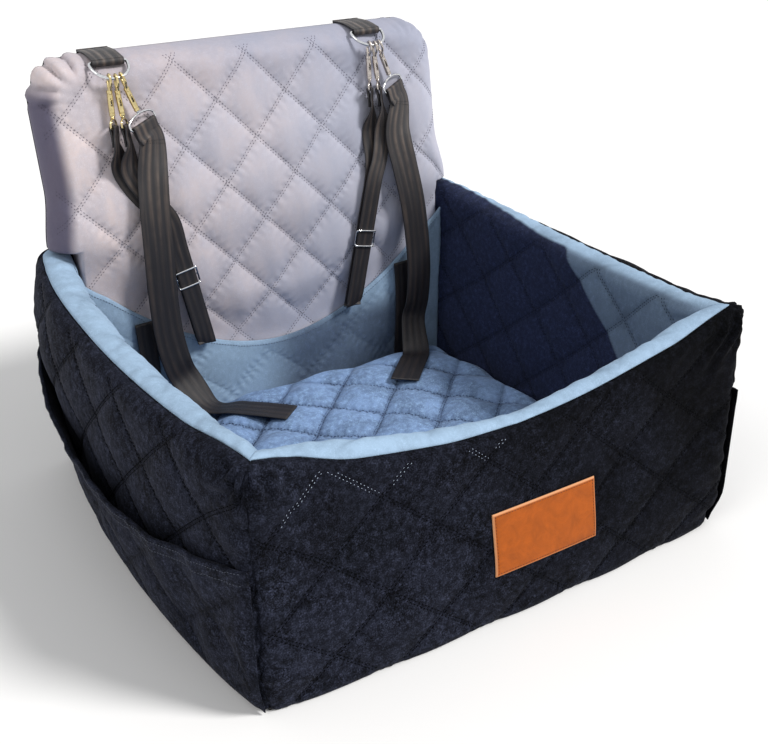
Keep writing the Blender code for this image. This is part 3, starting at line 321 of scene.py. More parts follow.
def settle(points):
    """Lets the box's cloth and foam go slack: bowed rims, full corners, a front that leans back."""
    p = np.array(points, float)
    x, y, z = p[..., 0].copy(), p[..., 1].copy(), p[..., 2].copy()
    right = x > 0
    beside = ease((np.abs(x) - 0.235) / 0.020)
    bow = RIM_BOW * np.maximum(1 - (y / HALF_DEPTH) ** 4, 0) * ease((z - 0.08) / 0.15)
    puff = REAR_PUFF * np.exp(-(((y - 0.27) / 0.17) ** 2) - ((z - 0.20) / 0.085) ** 2) * ~right
    corner = np.exp(-((np.abs(x) - HALF_WIDTH) ** 2 + (y + HALF_DEPTH) ** 2) / 0.045**2)
    full = np.where(right, CORNER_FULL["right"], CORNER_FULL["left"]) * corner * ease(z / 0.05)
    inward = np.clip(-(y + HALF_DEPTH - WALL_THICKNESS) / WALL_THICKNESS, 0, 1.2)
    lean = FRONT_LEAN * ease((z - 0.06) / 0.12) - 0.003 * np.exp(-(((z - 0.06) / 0.05) ** 2))
    lean = lean * inward * np.maximum(1 - (x / HALF_WIDTH) ** 4, 0)
    outer = ease((np.abs(x) - 0.258) / 0.040)
    tuck = CORNER_TUCK * corner * np.exp(-((z / 0.022) ** 2))
    p[..., 0] += np.sign(x) * (beside * bow + outer * puff + full - tuck)
    p[..., 1] += lean - 0.7 * full + tuck
    rise = np.where(right, CORNER_RISE["right"], CORNER_RISE["left"])
    p[..., 2] += rise * corner * ease((z - 0.12) / 0.12)
    return p


def new_object(name, data):
    """An object for a mesh, a lamp or a camera, put into the scene."""
    obj = bpy.data.objects.new(name, data)
    bpy.context.scene.collection.objects.link(obj)
    return obj


def new_mesh(name, points, edges, faces):
    mesh = bpy.data.meshes.new(name)
    mesh.from_pydata(points, edges, faces)
    return mesh


def mesh_object(name, points, faces, uv, values=None):
    """A piece from points and faces, with a UV place and a named value for each point."""
    mesh = new_mesh(name, np.asarray(points, float).tolist(), [], faces)
    index = np.empty(len(mesh.loops), int)
    mesh.loops.foreach_get("vertex_index", index)
    mesh.uv_layers.new(name="UVMap").data.foreach_set("uv", np.asarray(uv, np.float32)[index].ravel())
    for key, value in (values or {}).items():
        attribute = mesh.attributes.new(key, "FLOAT", "POINT")
        attribute.data.foreach_set("value", np.asarray(value, np.float32).ravel())
    mesh.update()
    mesh.shade_smooth()
    return new_object(name, mesh)


def cells(index):
    """The corners of a grid's cells, in order round each."""
    return np.stack([index[:-1, :-1], index[1:, :-1], index[1:, 1:], index[:-1, 1:]], -1).reshape(-1, 4)


def sheet_mesh(name, outer, inner, uv, values=None, out=1):
    """A closed sheet: a fine grid outside, a coarser grid inside, and a border."""
    n, m = outer.shape[:2]
    index = np.arange(n * m).reshape(n, m)
    a, b = inner.shape[:2]
    back = n * m + np.arange(a * b).reshape(a, b)
    faces = cells(index).tolist()
    faces += cells(back)[:, [0, 3, 2, 1]].tolist()
    for k in range(a - 1):
        row = index[k * COARSE : (k + 1) * COARSE + 1]
        faces.append([*row[::-1, 0].tolist(), int(back[k, 0]), int(back[k + 1, 0])])
        faces.append([*row[:, -1].tolist(), int(back[k + 1, -1]), int(back[k, -1])])
    for k in range(b - 1):
        row = index[:, k * COARSE : (k + 1) * COARSE + 1]
        faces.append([*row[0].tolist(), int(back[0, k + 1]), int(back[0, k])])
        faces.append([*row[-1, ::-1].tolist(), int(back[-1, k]), int(back[-1, k + 1])])
    if out < 0:
        faces = [face[::-1] for face in faces]
    points = np.concatenate([outer.reshape(-1, 3), inner.reshape(-1, 3)])
    flat = np.concatenate([uv.reshape(-1, 2), coarse(uv).reshape(-1, 2)])
    held = {key: np.concatenate([value.ravel(), coarse(value).ravel()])
            for key, value in (values or {}).items()}
    return mesh_object(name, points, faces, flat, held)


def finish_piece(obj, body, material, replaced=()):
    """Gives a piece its material, attaches it to the body that it rides on, and hides the CAD parts that it
    stands for.
    """
    obj.data.materials.clear()
    obj.data.materials.append(material)
    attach(obj, body)
    if replaced:
        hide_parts(*replaced)
    return obj


# Materials


def set_inputs(node, **values):
    """Sets inputs that have no link, with a _ for each space in their names."""
    for key, value in values.items():
        node.inputs[key.replace("_", " ")].default_value = value


def feed(item, socket):
    """Feeds an input from a socket, a number or the three numbers of a colour."""
    if isinstance(item, bpy.types.NodeSocket):
        socket.id_data.links.new(item, socket)
    else:
        socket.default_value = (*item, 1.0) if isinstance(item, tuple) else item


def new_node(tree, kind, settings=None, links=None, **values):
    """A node with its settings, its unlinked inputs by name, and its links."""
    node = tree.nodes.new(kind)
    for key, value in (settings or {}).items():
        setattr(node, key, value)
    set_inputs(node, **values)
    for key, source in (links or {}).items():
        tree.links.new(source, node.inputs[key])
    return node


def home(*items):
    """The node tree of the first socket among some items."""
    return next(item.id_data for item in items if isinstance(item, bpy.types.NodeSocket))


def maths(operation, first, second=0.5, third=0.5):
    """The output of a Math node on sockets or numbers."""
    node = new_node(home(first, second, third), "ShaderNodeMath", {"operation": operation})
    for k, item in enumerate((first, second, third)):
        feed(item, node.inputs[k])
    return node.outputs[0]


def blend(factor, first, second, mode="MIX"):
    """The colour output of a Mix node. A colour is a socket or three numbers."""
    node = new_node(home(factor, first, second), "ShaderNodeMix",
                    {"data_type": "RGBA", "blend_type": mode, "clamp_factor": True})
    for k, item in ((0, factor), (6, first), (7, second)):
        feed(item, node.inputs[k])
    return node.outputs[2]


def times(first, second):
    return maths("MULTIPLY", first, second)


def weighed(first, share, second, other):
    """The sum of two values, each times its own share."""
    return maths("ADD", times(first, share), times(second, other))


def remap(value, low=0.0, high=1.0, to_low=0.0, to_high=1.0, smooth=False):
    """A value brought from one range to another, eased at both ends where smooth."""
    return new_node(home(value), "ShaderNodeMapRange",
                    {"interpolation_type": "SMOOTHSTEP" if smooth else "LINEAR"}, {"Value": value},
                    From_Min=low, From_Max=high, To_Min=to_low, To_Max=to_high).outputs[0]


def noise(place, scale, detail=2.0, roughness=0.5, distortion=0.0):
    """The value of a noise, whose scale is a number or a socket."""
    node = new_node(home(place), "ShaderNodeTexNoise", None, {"Vector": place}, Detail=detail,
                    Roughness=roughness, Distortion=distortion)
    feed(scale, node.inputs["Scale"])
    return node.outputs[0]


def axes(place):
    """The sockets of a place's three numbers."""
    return new_node(home(place), "ShaderNodeSeparateXYZ", None, {"Vector": place}).outputs


def piece_value(tree, name):
    """A value that a piece carries at each of its points."""
    return new_node(tree, "ShaderNodeAttribute", {"attribute_name": name}).outputs["Fac"]


def make_group(name, kind, inputs, outputs):
    """A node group with named sockets, and its two end nodes."""
    group = bpy.data.node_groups.new(name, kind)
    for label, sort, value in inputs:
        socket = group.interface.new_socket(label, in_out="INPUT", socket_type=f"NodeSocket{sort}")
        if value is not None:
            socket.default_value = value
    for label, sort in outputs:
        group.interface.new_socket(label, in_out="OUTPUT", socket_type=f"NodeSocket{sort}")
    return group, group.nodes.new("NodeGroupInput"), group.nodes.new("NodeGroupOutput")


@cache
def velvet_group():
    """Pile of a velvet: fine grain, brushed patches, and a height for the bump."""
    group, start, end = make_group(
        "velvet pile", "ShaderNodeTree",
        (("Vector", "Vector", None), ("Grain Size", "Float", 0.0012), ("Patch Size", "Float", 0.05),
         ("Streak", "Float", 2.5)),
        (("Grain", "Float"), ("Patches", "Float"), ("Height", "Float")))
    place, streak = start.outputs["Vector"], start.outputs["Streak"]
    grain_scale = maths("DIVIDE", 1.0, start.outputs["Grain Size"])
    patch_scale = maths("DIVIDE", 1.0, start.outputs["Patch Size"])
    grain = noise(place, grain_scale, 3.0, 0.65)
    coarse_grain = noise(place, times(grain_scale, 0.22), 4.0, 0.6)
    patches = noise(place, patch_scale, 4.0, 0.55, 0.6)
    scale = new_node(group, "ShaderNodeCombineXYZ", None, {"X": streak, "Y": streak}, Z=1.0).outputs[0]
    stretched = new_node(group, "ShaderNodeVectorMath", {"operation": "MULTIPLY"}, {0: place, 1: scale})
    brushed = noise(stretched.outputs[0], times(patch_scale, 2.4), 3.0, 0.6)
    both = weighed(grain, 0.6, coarse_grain, 0.4)
    mixed = weighed(patches, 0.6, brushed, 0.4)
    feed(remap(both, 0.36, 0.66), end.inputs["Grain"])
    feed(remap(mixed, 0.36, 0.64, smooth=True), end.inputs["Patches"])
    feed(weighed(both, 0.8, patches, 0.6), end.inputs["Height"])
    return group


def base_material(name, **values):
    """A new material with plain values on its shader, its node tree and the shader."""
    material = bpy.data.materials.new(name)
    material.use_nodes = True
    shader = material.node_tree.nodes["Principled BSDF"]
    set_inputs(shader, **values)
    return material, material.node_tree, shader


def object_place(tree):
    return new_node(tree, "ShaderNodeTexCoord").outputs["Object"]


def surface(shader, colour, height, strength, distance, rough=None):
    """Feeds a material's colour, its bump and its roughness."""
    bump = new_node(home(height), "ShaderNodeBump", None, {"Height": height}, Strength=strength,
                    Distance=distance)
    feed(colour, shader.inputs["Base Color"])
    feed(bump.outputs[0], shader.inputs["Normal"])
    if rough is not None:
        feed(rough, shader.inputs["Roughness"])


def velvet(name, dark, middle, light, sheen, tint, grain=0.0013, patch=0.05, lining_shade=None, shine=0.2,
           painted_light=None):
    """A velvet between three tones. Two darker tones can be given as painted shade, which the piece's value
    of painted shade leads to, and a pair of factors as painted light, which makes the cloth brighter on
    the left and lower down and darker on the right and higher up."""
    material, tree, shader = base_material(
        name, Specular_IOR_Level=shine, Sheen_Weight=sheen, Sheen_Roughness=0.35, Sheen_Tint=(*tint, 1.0))
    place = object_place(tree)
    pile = new_node(tree, "ShaderNodeGroup", {"node_tree": velvet_group()}, {"Vector": place},
                    Grain_Size=grain, Patch_Size=patch).outputs
    speck = maths("POWER", pile["Grain"], 2.6)
    brushed = blend(pile["Patches"], dark, middle)
    colour = blend(times(speck, 0.75), brushed, light)
    # Painted shade: where a piece carries a value of painted shade, the colour goes towards two darker tones.
    if lining_shade:
        wavy = maths("ADD", piece_value(tree, "fade"), times(pile["Patches"], 0.05))
        low = blend(times(speck, 0.8), *lining_shade)
        colour = blend(remap(wavy, 0.30, 0.85, smooth=True), colour, low)
    # Painted light: the colour is made brighter on the left and lower down and darker on the right and higher
    # up, with a cloudy wobble.
    if painted_light:
        across, _, up = axes(place)
        slope = maths("MULTIPLY_ADD", up, 0.7, across)
        cloudy = maths("MULTIPLY_ADD", noise(place, 7.0, 3.0), 0.8, slope)
        lit = remap(cloudy, 0.20, 0.80, *painted_light)
        grey = new_node(tree, "ShaderNodeCombineXYZ", None, {"X": lit, "Y": lit, "Z": lit})
        colour = blend(1.0, colour, grey.outputs[0], "MULTIPLY")
    # Painted shade: the colour is darkened along the quilting seams where a piece carries a seam value.
    colour = blend(piece_value(tree, "dip"), colour, (0.42, 0.42, 0.44), "MULTIPLY")
    surface(shader, colour, pile["Height"], 0.55, 0.0009, remap(pile["Grain"], 0, 1, 0.95, 0.72))
    return material


def toned(colour, *factors):
    """A colour times one factor, or times one for each of its numbers."""
    return tuple(min(1.0, c * factors[k % len(factors)]) for k, c in enumerate(colour))


def seat_colour(key):
    return tuple(getattr(bpy.context.scene.seat_colours, key))


@cache
def navy_velvet():
    c = seat_colour("navy")
    # The last pair of factors is painted light: the navy is brighter low on the left and darker high on the
    # right.
    return velvet("navy velvet", toned(c, 0.08), toned(c, 1.10), toned(c, 8.5), 0.05, (0.42, 0.43, 0.52),
                  grain=0.0016, shine=0.06, painted_light=(1.35, 0.17))


@cache
def lining_velvet():
    # The second colour is painted shade for the lower inside of the linings.
    c, d = seat_colour("blue"), seat_colour("lining_shade")
    return velvet("light blue velvet", toned(c, 0.82), toned(c, 1.0), toned(c, 1.22), 0.12,
                  (0.8, 0.9, 1.0), lining_shade=(toned(d, 0.6), toned(d, 2.6)))


@cache
def lilac_velvet():
    """Painted light: the lilac grey is made warmer to the left and cooler to the right, with painted shade
    over the top of the face and on the left roll.
    """
    c = seat_colour("lilac")
    material = velvet("lilac grey velvet", toned(c, 1.02, 0.98, 0.97), toned(c, 1.24, 1.11, 1.01),
                      toned(c, 1.3), 0.12, (0.95, 0.92, 0.95), patch=0.07)
    tree = material.node_tree
    target = tree.nodes["Principled BSDF"].inputs["Base Color"]
    before = target.links[0].from_socket
    place = object_place(tree)
    across, _, height = axes(place)
    turn = remap(maths("MULTIPLY_ADD", noise(place, 5.0, 3.0), 0.5, across), 0, 0.40, smooth=True)
    cool_light = blend(turn, before, toned(c, 0.735, 0.8526, 0.9996))
    mixed = blend(0.70, before, cool_light)
    # Painted shade over the top of the face, but for its left edge.
    upper = remap(height, 0.43, 0.52, smooth=True)
    inward = remap(across, -0.27, -0.19, smooth=True)
    mixed = blend(times(upper, inward), mixed, (0.76, 0.78, 0.82), "MULTIPLY")
    # Painted shade on the backrest's left roll.
    tree.links.new(blend(piece_value(tree, "turned"), mixed, linear("4e4b62")), target)
    return material


@cache
def cushion_velvet():
    c = seat_colour("cushion")
    return velvet("slate blue velvet", toned(c, 0.50), toned(c, 0.95), toned(c, 2.0), 0.15,
                  (0.7, 0.8, 1.0), patch=0.06)


@cache
def plain_material(name, texture, output, low, high, strength, distance, roughness, shine=0.5, **values):
    """A finish between the two tones of one texture, which makes its bump too."""
    material, tree, shader = base_material(name, Roughness=roughness, Specular_IOR_Level=shine)
    node = new_node(tree, f"ShaderNodeTex{texture}", None, {"Vector": object_place(tree)}, **values)
    surface(shader, blend(node.outputs[output], low, high), node.outputs[output], strength, distance)
    return material


def pressed_material(name, code):
    """The smooth pressed spots of the quilting."""
    colour = linear(code)
    return plain_material(name, "Noise", 0, toned(colour, 0.7), toned(colour, 1.4), 0.2, 0.0002, 0.8, 0.05,
                          Scale=900.0)


@cache
def webbing_material():
    """Woven nylon: lengthwise ribs and a fine cross weave, with a painted sheen in a pale brownish tone on
    the ribs, weaker lower down as painted shade.
    """
    c = seat_colour("webbing")
    material, tree, shader = base_material("black webbing")
    across, along, _ = axes(new_node(tree, "ShaderNodeUVMap", {"uv_map": "UVMap"}).outputs[0])
    weave = maths("SINE", times(along, 2 * pi / 0.0016))
    yarn = maths("SINE", times(across, 2 * pi / 0.0013))
    cross = times(weave, yarn)
    place = object_place(tree)
    rib = piece_value(tree, "rib")
    # Painted sheen and painted shade: the ribs' painted sheen grows from low to high up the strap.
    sheen_by_height = remap(axes(place)[2], 0.20, 0.40, 0.35, 1.15)
    lengthwise = new_node(tree, "ShaderNodeCombineXYZ", None,
                          {"X": times(across, 170.0), "Y": times(along, 7.0)})
    uneven = remap(noise(lengthwise.outputs[0], 1.0), 0.36, 0.62, 0.10, 1.25)
    shine = times(times(times(rib, noise(place, 60.0, 3.0)), sheen_by_height), uneven)
    woven = blend(maths("MULTIPLY_ADD", cross, 0.25, 0.4), toned(c, 0.5), toned(c, 1.5))
    # Painted sheen: the ribs take a pale brownish tone.
    colour = blend(times(shine, 1.3), woven, linear("564a43"))
    height = maths("MULTIPLY_ADD", cross, 0.5, times(rib, 0.6))
    surface(shader, colour, height, 0.5, 0.0004, remap(shine, 0, 1, 0.55, 0.32))
    return material


def thread_material(name, code):
    """Twisted sewing thread."""
    colour = linear(code)
    return plain_material(name, "Wave", "Fac", toned(colour, 0.6), toned(colour, 1.2), 0.4, 0.0002, 0.6,
                          Scale=900.0, Distortion=2.0)


@cache
def leather_material():
    """Tan leather, mottled and finely creased, with a paler cut edge."""
    c = seat_colour("leather")
    material, tree, shader = base_material("tan leather", Specular_IOR_Level=0.25)
    place = object_place(tree)
    cells = new_node(tree, "ShaderNodeTexVoronoi", {"feature": "DISTANCE_TO_EDGE"}, {"Vector": place},
                     Scale=900.0)
    cloud = noise(place, 55.0, 8.0, 0.7, 0.8)
    body = blend(cloud, toned(c, 0.45), toned(c, 1.6))
    crease = remap(cells.outputs["Distance"], 0.0, 0.12)
    surface(shader, blend(piece_value(tree, "rim"), body, linear("eeb080")),
            maths("MULTIPLY_ADD", cloud, 0.4, crease), 0.25, 0.0003, remap(crease, 0, 1, 0.62, 0.45))
    return material


@cache
def plated_material(name, colour, roughness):
    """Plated metal with faint polishing lines and handling marks."""
    material, tree, shader = base_material(name, Metallic=1.0)
    place = object_place(tree)
    cloud = noise(place, 260.0, 4.0)
    surface(shader, blend(cloud, toned(colour, 0.50), toned(colour, 1.10)),
            noise(place, 1800.0), 0.06, 0.0001,
            remap(cloud, 0.3, 0.7, roughness * 0.7, roughness * 1.5))
    return material


def chrome_plating():
    return plated_material("bright chrome", (0.78, 0.79, 0.81), 0.12)


def foam_material():
    return plain_material("open foam", "Voronoi", "Distance", linear("d8d2be"), linear("f4f0e2"), 0.7, 0.001,
                          0.95, Scale=420.0)


def board_material():
    return plain_material("grey fibre board", "Noise", 0, linear("5c5c5e"), linear("8c8c8e"), 0.3, 0.0004,
                          0.85, Scale=300.0, Detail=6.0)


def underside_material():
    """Black non-woven cloth with an even grid of pressed points."""
    material, tree, shader = base_material("black underside cloth", Roughness=0.9)
    place = object_place(tree)
    dots = new_node(tree, "ShaderNodeTexVoronoi", None, {"Vector": place}, Scale=450.0, Randomness=0.1)
    fibre = noise(place, 1200.0, 3.0)
    surface(shader, blend(fibre, (0.004, 0.004, 0.005), (0.02, 0.02, 0.022)),
            dots.outputs["Distance"], 0.5, 0.0004)
    return material


# Stage


class SEAT_OT_stage(bpy.types.Operator):
    """Sets the floor, the light and the camera"""

    bl_idname = "seat.stage"
    bl_label = "Studio"

    def execute(self, context):
        studio = context.scene.seat_studio
        corners = ((-1, -1), (1, -1), (1, 1), (-1, 1))
        points = [(x * FLOOR_REACH, y * FLOOR_REACH, FLOOR_LEVEL) for x, y in corners]
        mesh = new_mesh("floor", points, [], [(0, 1, 2, 3)])
        material, tree, shader = base_material("pale floor", Roughness=0.9, Specular_IOR_Level=0.0)
        pale = tuple(studio.floor_colour)
        faint = noise(object_place(tree), 4.0)
        tree.links.new(blend(faint, toned(pale, 0.995), pale), shader.inputs["Base Color"])
        mesh.materials.append(material)
        new_object("floor", mesh)

        world = bpy.data.worlds.new("studio")
        context.scene.world = world
        world.use_nodes = True
        tree = world.node_tree
        even = tree.nodes["Background"].inputs
        even["Color"].default_value = (0.98, 0.99, 1.0, 1.0)
        path = new_node(tree, "ShaderNodeLightPath").outputs
        seen = maths("MAXIMUM", path["Is Camera Ray"], path["Is Transmission Ray"])
        seen = maths("MAXIMUM", seen, path["Is Glossy Ray"])
        tree.links.new(remap(seen, 0, 1, studio.sky, 1.0), even["Strength"])

        self.lamp("key", (0.50, -0.52, 0.70), 14, studio.key, (1.0, 0.985, 0.96))
        self.lamp("fill", (-0.80, -0.20, 0.75), 30, studio.key * 0.22, (1.0, 0.97, 0.93))
        self.camera(context)
        return {"FINISHED"}

    def lamp(self, name, source, spread, strength, colour):
        """A soft even light from a direction, spread over so many degrees."""
        data = bpy.data.lights.new(name, "SUN")
        data.angle = radians(spread)
        data.energy = strength
        data.color = colour
        lamp = new_object(name, data)
        lamp.location = source
        lamp.rotation_euler = (-Vector(source)).to_track_quat("-Z", "Y").to_euler()

    def camera(self, context):
        """The view that was fitted to the photo's corners."""
        yaw, pitch, roll = (radians(turn) for turn in VIEW_TURNS)
        ahead = Vector((sin(yaw) * cos(pitch), cos(yaw) * cos(pitch), sin(pitch)))
        right = ahead.cross(UP).normalized()
        up = right.cross(ahead)
        turned = cos(roll) * right + sin(roll) * up
        upward = -sin(roll) * right + cos(roll) * up
        data = bpy.data.cameras.new("photo view")
        data.sensor_width = 36
        data.lens = VIEW_FOCAL * data.sensor_width / VIEW_WIDTH
        camera = new_object("photo view", data)
        place = Matrix((turned, upward, -ahead)).transposed().to_4x4()
        place.translation = VIEW_PLACE
        camera.matrix_world = place
        context.scene.camera = camera
        context.scene.view_settings.view_transform = "Standard"


# Walls


def side_ends(depth):
    return -(HALF_DEPTH - depth), HALF_DEPTH - COVER_THICKNESS - GAP


def front_place(u, depth, z):
    """Points of the front wall, rounded where it meets the side walls."""
    out = FRONT_BULGE * (1 - u * u) * belly(z / front_rim(u))
    reach = HALF_WIDTH - depth
    radius = np.maximum(CORNER_ROUND - depth, 1e-6)
    share = np.clip(1 - (reach - np.abs(u * reach)) / radius, 0, 1)
    angle = share * pi / 4
    x = np.where(share > 0, np.sign(u) * (reach - radius + radius * np.sin(angle)), u * reach)
    y = -(HALF_DEPTH - depth) - out + radius * (1 - np.cos(angle))
    return stacked(x, y, z)


def side_bow(u, z):
    return SIDE_BULGE * (1 - u * u) * belly(z / side_rim(u))


def side_place(sign):
    def place(u, depth, z):
        front, rear = side_ends(depth)
        y = front + (rear - front) * (u + 1) / 2
        x = HALF_WIDTH - depth + side_bow(u, z) * (1 - INNER_BOW * depth / WALL_THICKNESS)
        radius = np.maximum(CORNER_ROUND - depth, 1e-6)
        share = np.clip(1 - (y - front) / radius, 0, 1)
        angle = share * pi / 4
        y = np.where(share > 0, front + radius - radius * np.sin(angle), y)
        return stacked(sign * (x - radius * (1 - np.cos(angle))), y, z)

    return place


def skin(place, rim, u, v, base, inset=0.0):
    """A wall's skin at a distance v up from its base, over the rim and down the inside."""
    radius = RIM_RADIUS
    centre = rim(u) - radius
    up = centre - base
    angle = np.clip((v - up) / radius - pi / 2, -pi / 2, pi / 2)
    down = np.maximum(v - up - pi * radius, 0)
    reach = radius - inset
    depth = radius + reach * np.sin(angle)
    z = centre + reach * np.cos(angle)
    z = np.where(v < up, base + v, z)
    z = np.where(down > 0, centre - down, z)
    return place(u, depth, z)


def wall_relief(a, b, seed, relief, pattern):
    """How far quilted cloth stands out over its seams, with puckers and slack."""
    puffed = relief * (quilt(a, b, pattern) - 0.35)
    slack = 0.0013 * waves(a, b, seed + 5, 0.11, stretch=1.6)
    return puffed + 0.00055 * puckers(a, b, seed, pattern) + slack


class WallCloth:
    """One face of a wall's cloth, as a surface that marks can be set on."""

    def __init__(self, wall, inner, seed, relief):
        self.sign = SIDES.get(wall, 0)
        self.place = side_place(self.sign) if self.sign else front_place
        self.rim = side_rim if self.sign else front_rim
        self.pattern = SIDE_QUILT if self.sign else FRONT_QUILT
        self.knots = SEAM_ANGLES[wall]
        self.half = (HALF_DEPTH - 0.003) if self.sign else HALF_WIDTH
        self.inner, self.seed, self.relief = inner, seed, relief

    def top(self, u):
        """Distance up the skin of the rim's highest line."""
        return self.rim(u) - RIM_RADIUS - CLOTH_BASE + RIM_RADIUS * pi / 2

    def spans(self, u):
        """Distances up the skin between which this cloth lies."""
        centre = self.rim(u) - RIM_RADIUS
        seam = self.top(u) - RIM_RADIUS * np.radians(through(u, self.knots))
        if self.inner:
            return seam + 0.0004, centre - CLOTH_BASE + pi * RIM_RADIUS + (centre - LINING_BASE)
        return 0 * seam, seam

    def bare(self, u, v):
        """The wall's skin without quilting."""
        return skin(self.place, self.rim, u, v, CLOTH_BASE)

    def inside(self, u, v):
        """The cloth's hidden side."""
        return settle(self.bare(u, v) - self.normal(u, v) * CLOTH_THICKNESS)

    def normal(self, u, v):
        step = 0.0008
        along = self.bare(u + step, v) - self.bare(u - step, v)
        up = self.bare(u, v + step) - self.bare(u, v - step)
        normal = np.cross(along, up)
        normal = normal / np.maximum(np.linalg.norm(normal, axis=-1, keepdims=True), 1e-9)
        return normal * (self.sign or 1)

    def raised(self, u, v):
        """How far the cloth stands out of its bare skin."""
        low, high = self.spans(u)
        a = u * self.half
        away = (1 - np.abs(u)) * self.half
        rise = wall_relief(a, v, self.seed, self.relief, self.pattern)
        seam = ease((v - low) / 0.012) if self.inner else ease((high - v) / 0.020)
        roll = hump((v - low) if self.inner else (v - high), 0.0035)
        gather = 0.0010 * waves(a, v, self.seed + 9, 0.022, stretch=4.0)
        crimp = 0.0014 * waves(v, a, self.seed + 7, 0.017, stretch=3.5)
        rise = rise * np.maximum(ease(away / 0.030) * seam, 0.12)
        rise = rise + (gather * 0.15 + crimp * hump(away, 0.05)) * seam
        rise = rise - 0.0022 * roll - 0.0022 * hump(away, 0.0035)
        if self.inner:
            over = hump(v - self.top(u), 0.024)
            rise = rise * (1 - 0.75 * over) + 0.0009 * over * waves(a, v, self.seed + 3, 0.020, stretch=5.0)
            return np.minimum(rise, 0.0035) * ease((high - v) / 0.03)
        if not self.sign:
            beside = np.abs(a - LABEL_CENTRE[0]) - LABEL_SIZE[0] / 2
            above = np.abs(v + CLOTH_BASE - LABEL_CENTRE[1]) - LABEL_SIZE[1] / 2
            free = ease((np.maximum(beside, above) + 0.004) / 0.014)
            rise = rise * free - 0.0006 * (1 - free)
        rise = rise + self.fan(u, away, high - v) * seam
        return rise - 0.002 * (1 - ease(v / 0.010)) ** 2

    def fan(self, u, away, below):
        """Folds that spread from the top of a front corner."""
        if self.sign:
            away = np.where(u > 0, 1.0, away)
        reach = np.hypot(away, below)
        angle = np.arctan2(below, away + 0.002)
        fold = np.sin(angle * 13 + 2.0 * waves(away, below, self.seed + 2, 0.05))
        return 0.0044 * fold * ease(reach / 0.016) * hump(reach, 0.062)

    def at(self, u, v):
        """The cloth's outer side."""
        return settle(self.bare(u, v) + self.normal(u, v) * self.raised(u, v)[..., None])

    def grid(self, columns, rows):
        u, t = unit_grid(columns, rows)
        low, high = self.spans(u)
        return u, low + (high - low) * t


def wall_object(name, cloth):
    u, v = cloth.grid(WALL_COLUMNS, WALL_ROWS)
    outer = cloth.at(u, v)
    inner = cloth.inside(coarse(u), coarse(v))
    low, high = cloth.spans(u)
    below = v - cloth.top(u)
    if cloth.sign > 0:
        # Painted light and painted shadow on the right wall's lining: a painted pool of light with a slanting
        # edge lies on its front part, and painted shadow darkens the rest, the top of the rim too towards the
        # rear.
        y = outer[..., 1]
        level = np.where(below < 0.004, cloth.rim(u) - 0.002, outer[..., 2])
        lit = ease((level - 0.27 - 0.88 * (y + 0.01)) / 0.010)
        start = 0.006 - 0.015 * ease((y - 0.01) / 0.22)
        dark = ease((below - start) / 0.012)
        bright = 0.57 * ease((below - 0.002) / 0.017) + 0.03 * ease((below - 0.018) / 0.050)
        fade = bright * lit + dark * (1 - lit)
    else:
        # Painted shade: the front and left linings go darker down their inside, below the rim.
        fade = ease((below - 0.024) / 0.060)
    # Painted shade along the quilting seams, stronger on the side covers than on the front and the linings.
    edges = ease((v - low) / 0.02) * ease((high - v) / 0.02)
    strength = 0.5 if cloth.inner else (0.9 if cloth.sign else 0.6)
    dip = seam_shade_mask(u * cloth.half, v, cloth.pattern) * edges * strength
    return sheet_mesh(name, outer, inner, stacked(u * cloth.half, v), {"fade": fade, "dip": dip},
                      cloth.sign or 1)


class SEAT_OT_walls(bpy.types.Operator):
    """Makes the quilted covers and linings of the front and side walls"""

    bl_idname = "seat.walls"
    bl_label = "Walls"

    def execute(self, context):
        relief = context.scene.seat_quilting.relief
        dark = pressed_material("navy pressed marks", "030406")
        for k, wall in enumerate(("front", "left", "right")):
            outside = WallCloth(wall, False, 11 + 20 * k, relief * (1.4 if k else 1.0))
            obj = wall_object(f"{wall}_wall_cover", outside)
            finish_piece(obj, "box", navy_velvet(), [f"{wall}_outer_cover"])
            inside = WallCloth(wall, True, 17 + 20 * k, relief * 1.1)
            obj = wall_object(f"{wall}_wall_lining", inside)
            finish_piece(obj, "box", lining_velvet(), [f"{wall}_inner_lining"])
            runs = wall_lines(outside)
            if wall == "front":
                # Painted glints: runs of marks under the left of the front rim are made pale, as light that
                # they catch.
                shown = [run for run in runs if self.takes_glint(run)]
                press_marks("front_bright_marks", shown, "box",
                            pressed_material("bright pressed marks", "aab6c8"), 0.68)
                runs = [run for run in runs if not self.takes_glint(run)]
            press_marks(f"{wall}_cover_marks", runs, "box", dark, 1.35)
            if k:
                self.corner_seam(wall, outside)
            press_marks(f"{wall}_lining_marks", wall_lines(inside), "box",
                        pressed_material("blue pressed marks", "10141f"))
        return {"FINISHED"}

    def corner_seam(self, side, cloth):
        """The sewn edge between the front cover and a side cover, inside their groove."""
        u = np.full(40, -1.0)
        low, high = cloth.spans(u)
        v = low + 0.007 + (high - low - 0.007) * np.linspace(0.0, 1.0, 40)
        path = [Vector(point) for point in settle(cloth.bare(u, v) - cloth.normal(u, v) * 0.0042)]
        mesh = swept_rod(f"{side} corner seam", path, 0.0052, 10)
        mesh.shade_smooth()
        finish_piece(new_object(f"{side}_corner_seam", mesh), "box", navy_velvet())

    def takes_glint(self, run):
        """Whether a run of marks lies under the front rim on the left, where its marks are made pale as
        painted glints.
        """
        x, _, z = run[len(run) // 2]
        return -0.26 < x < 0.01 and z > 0.203


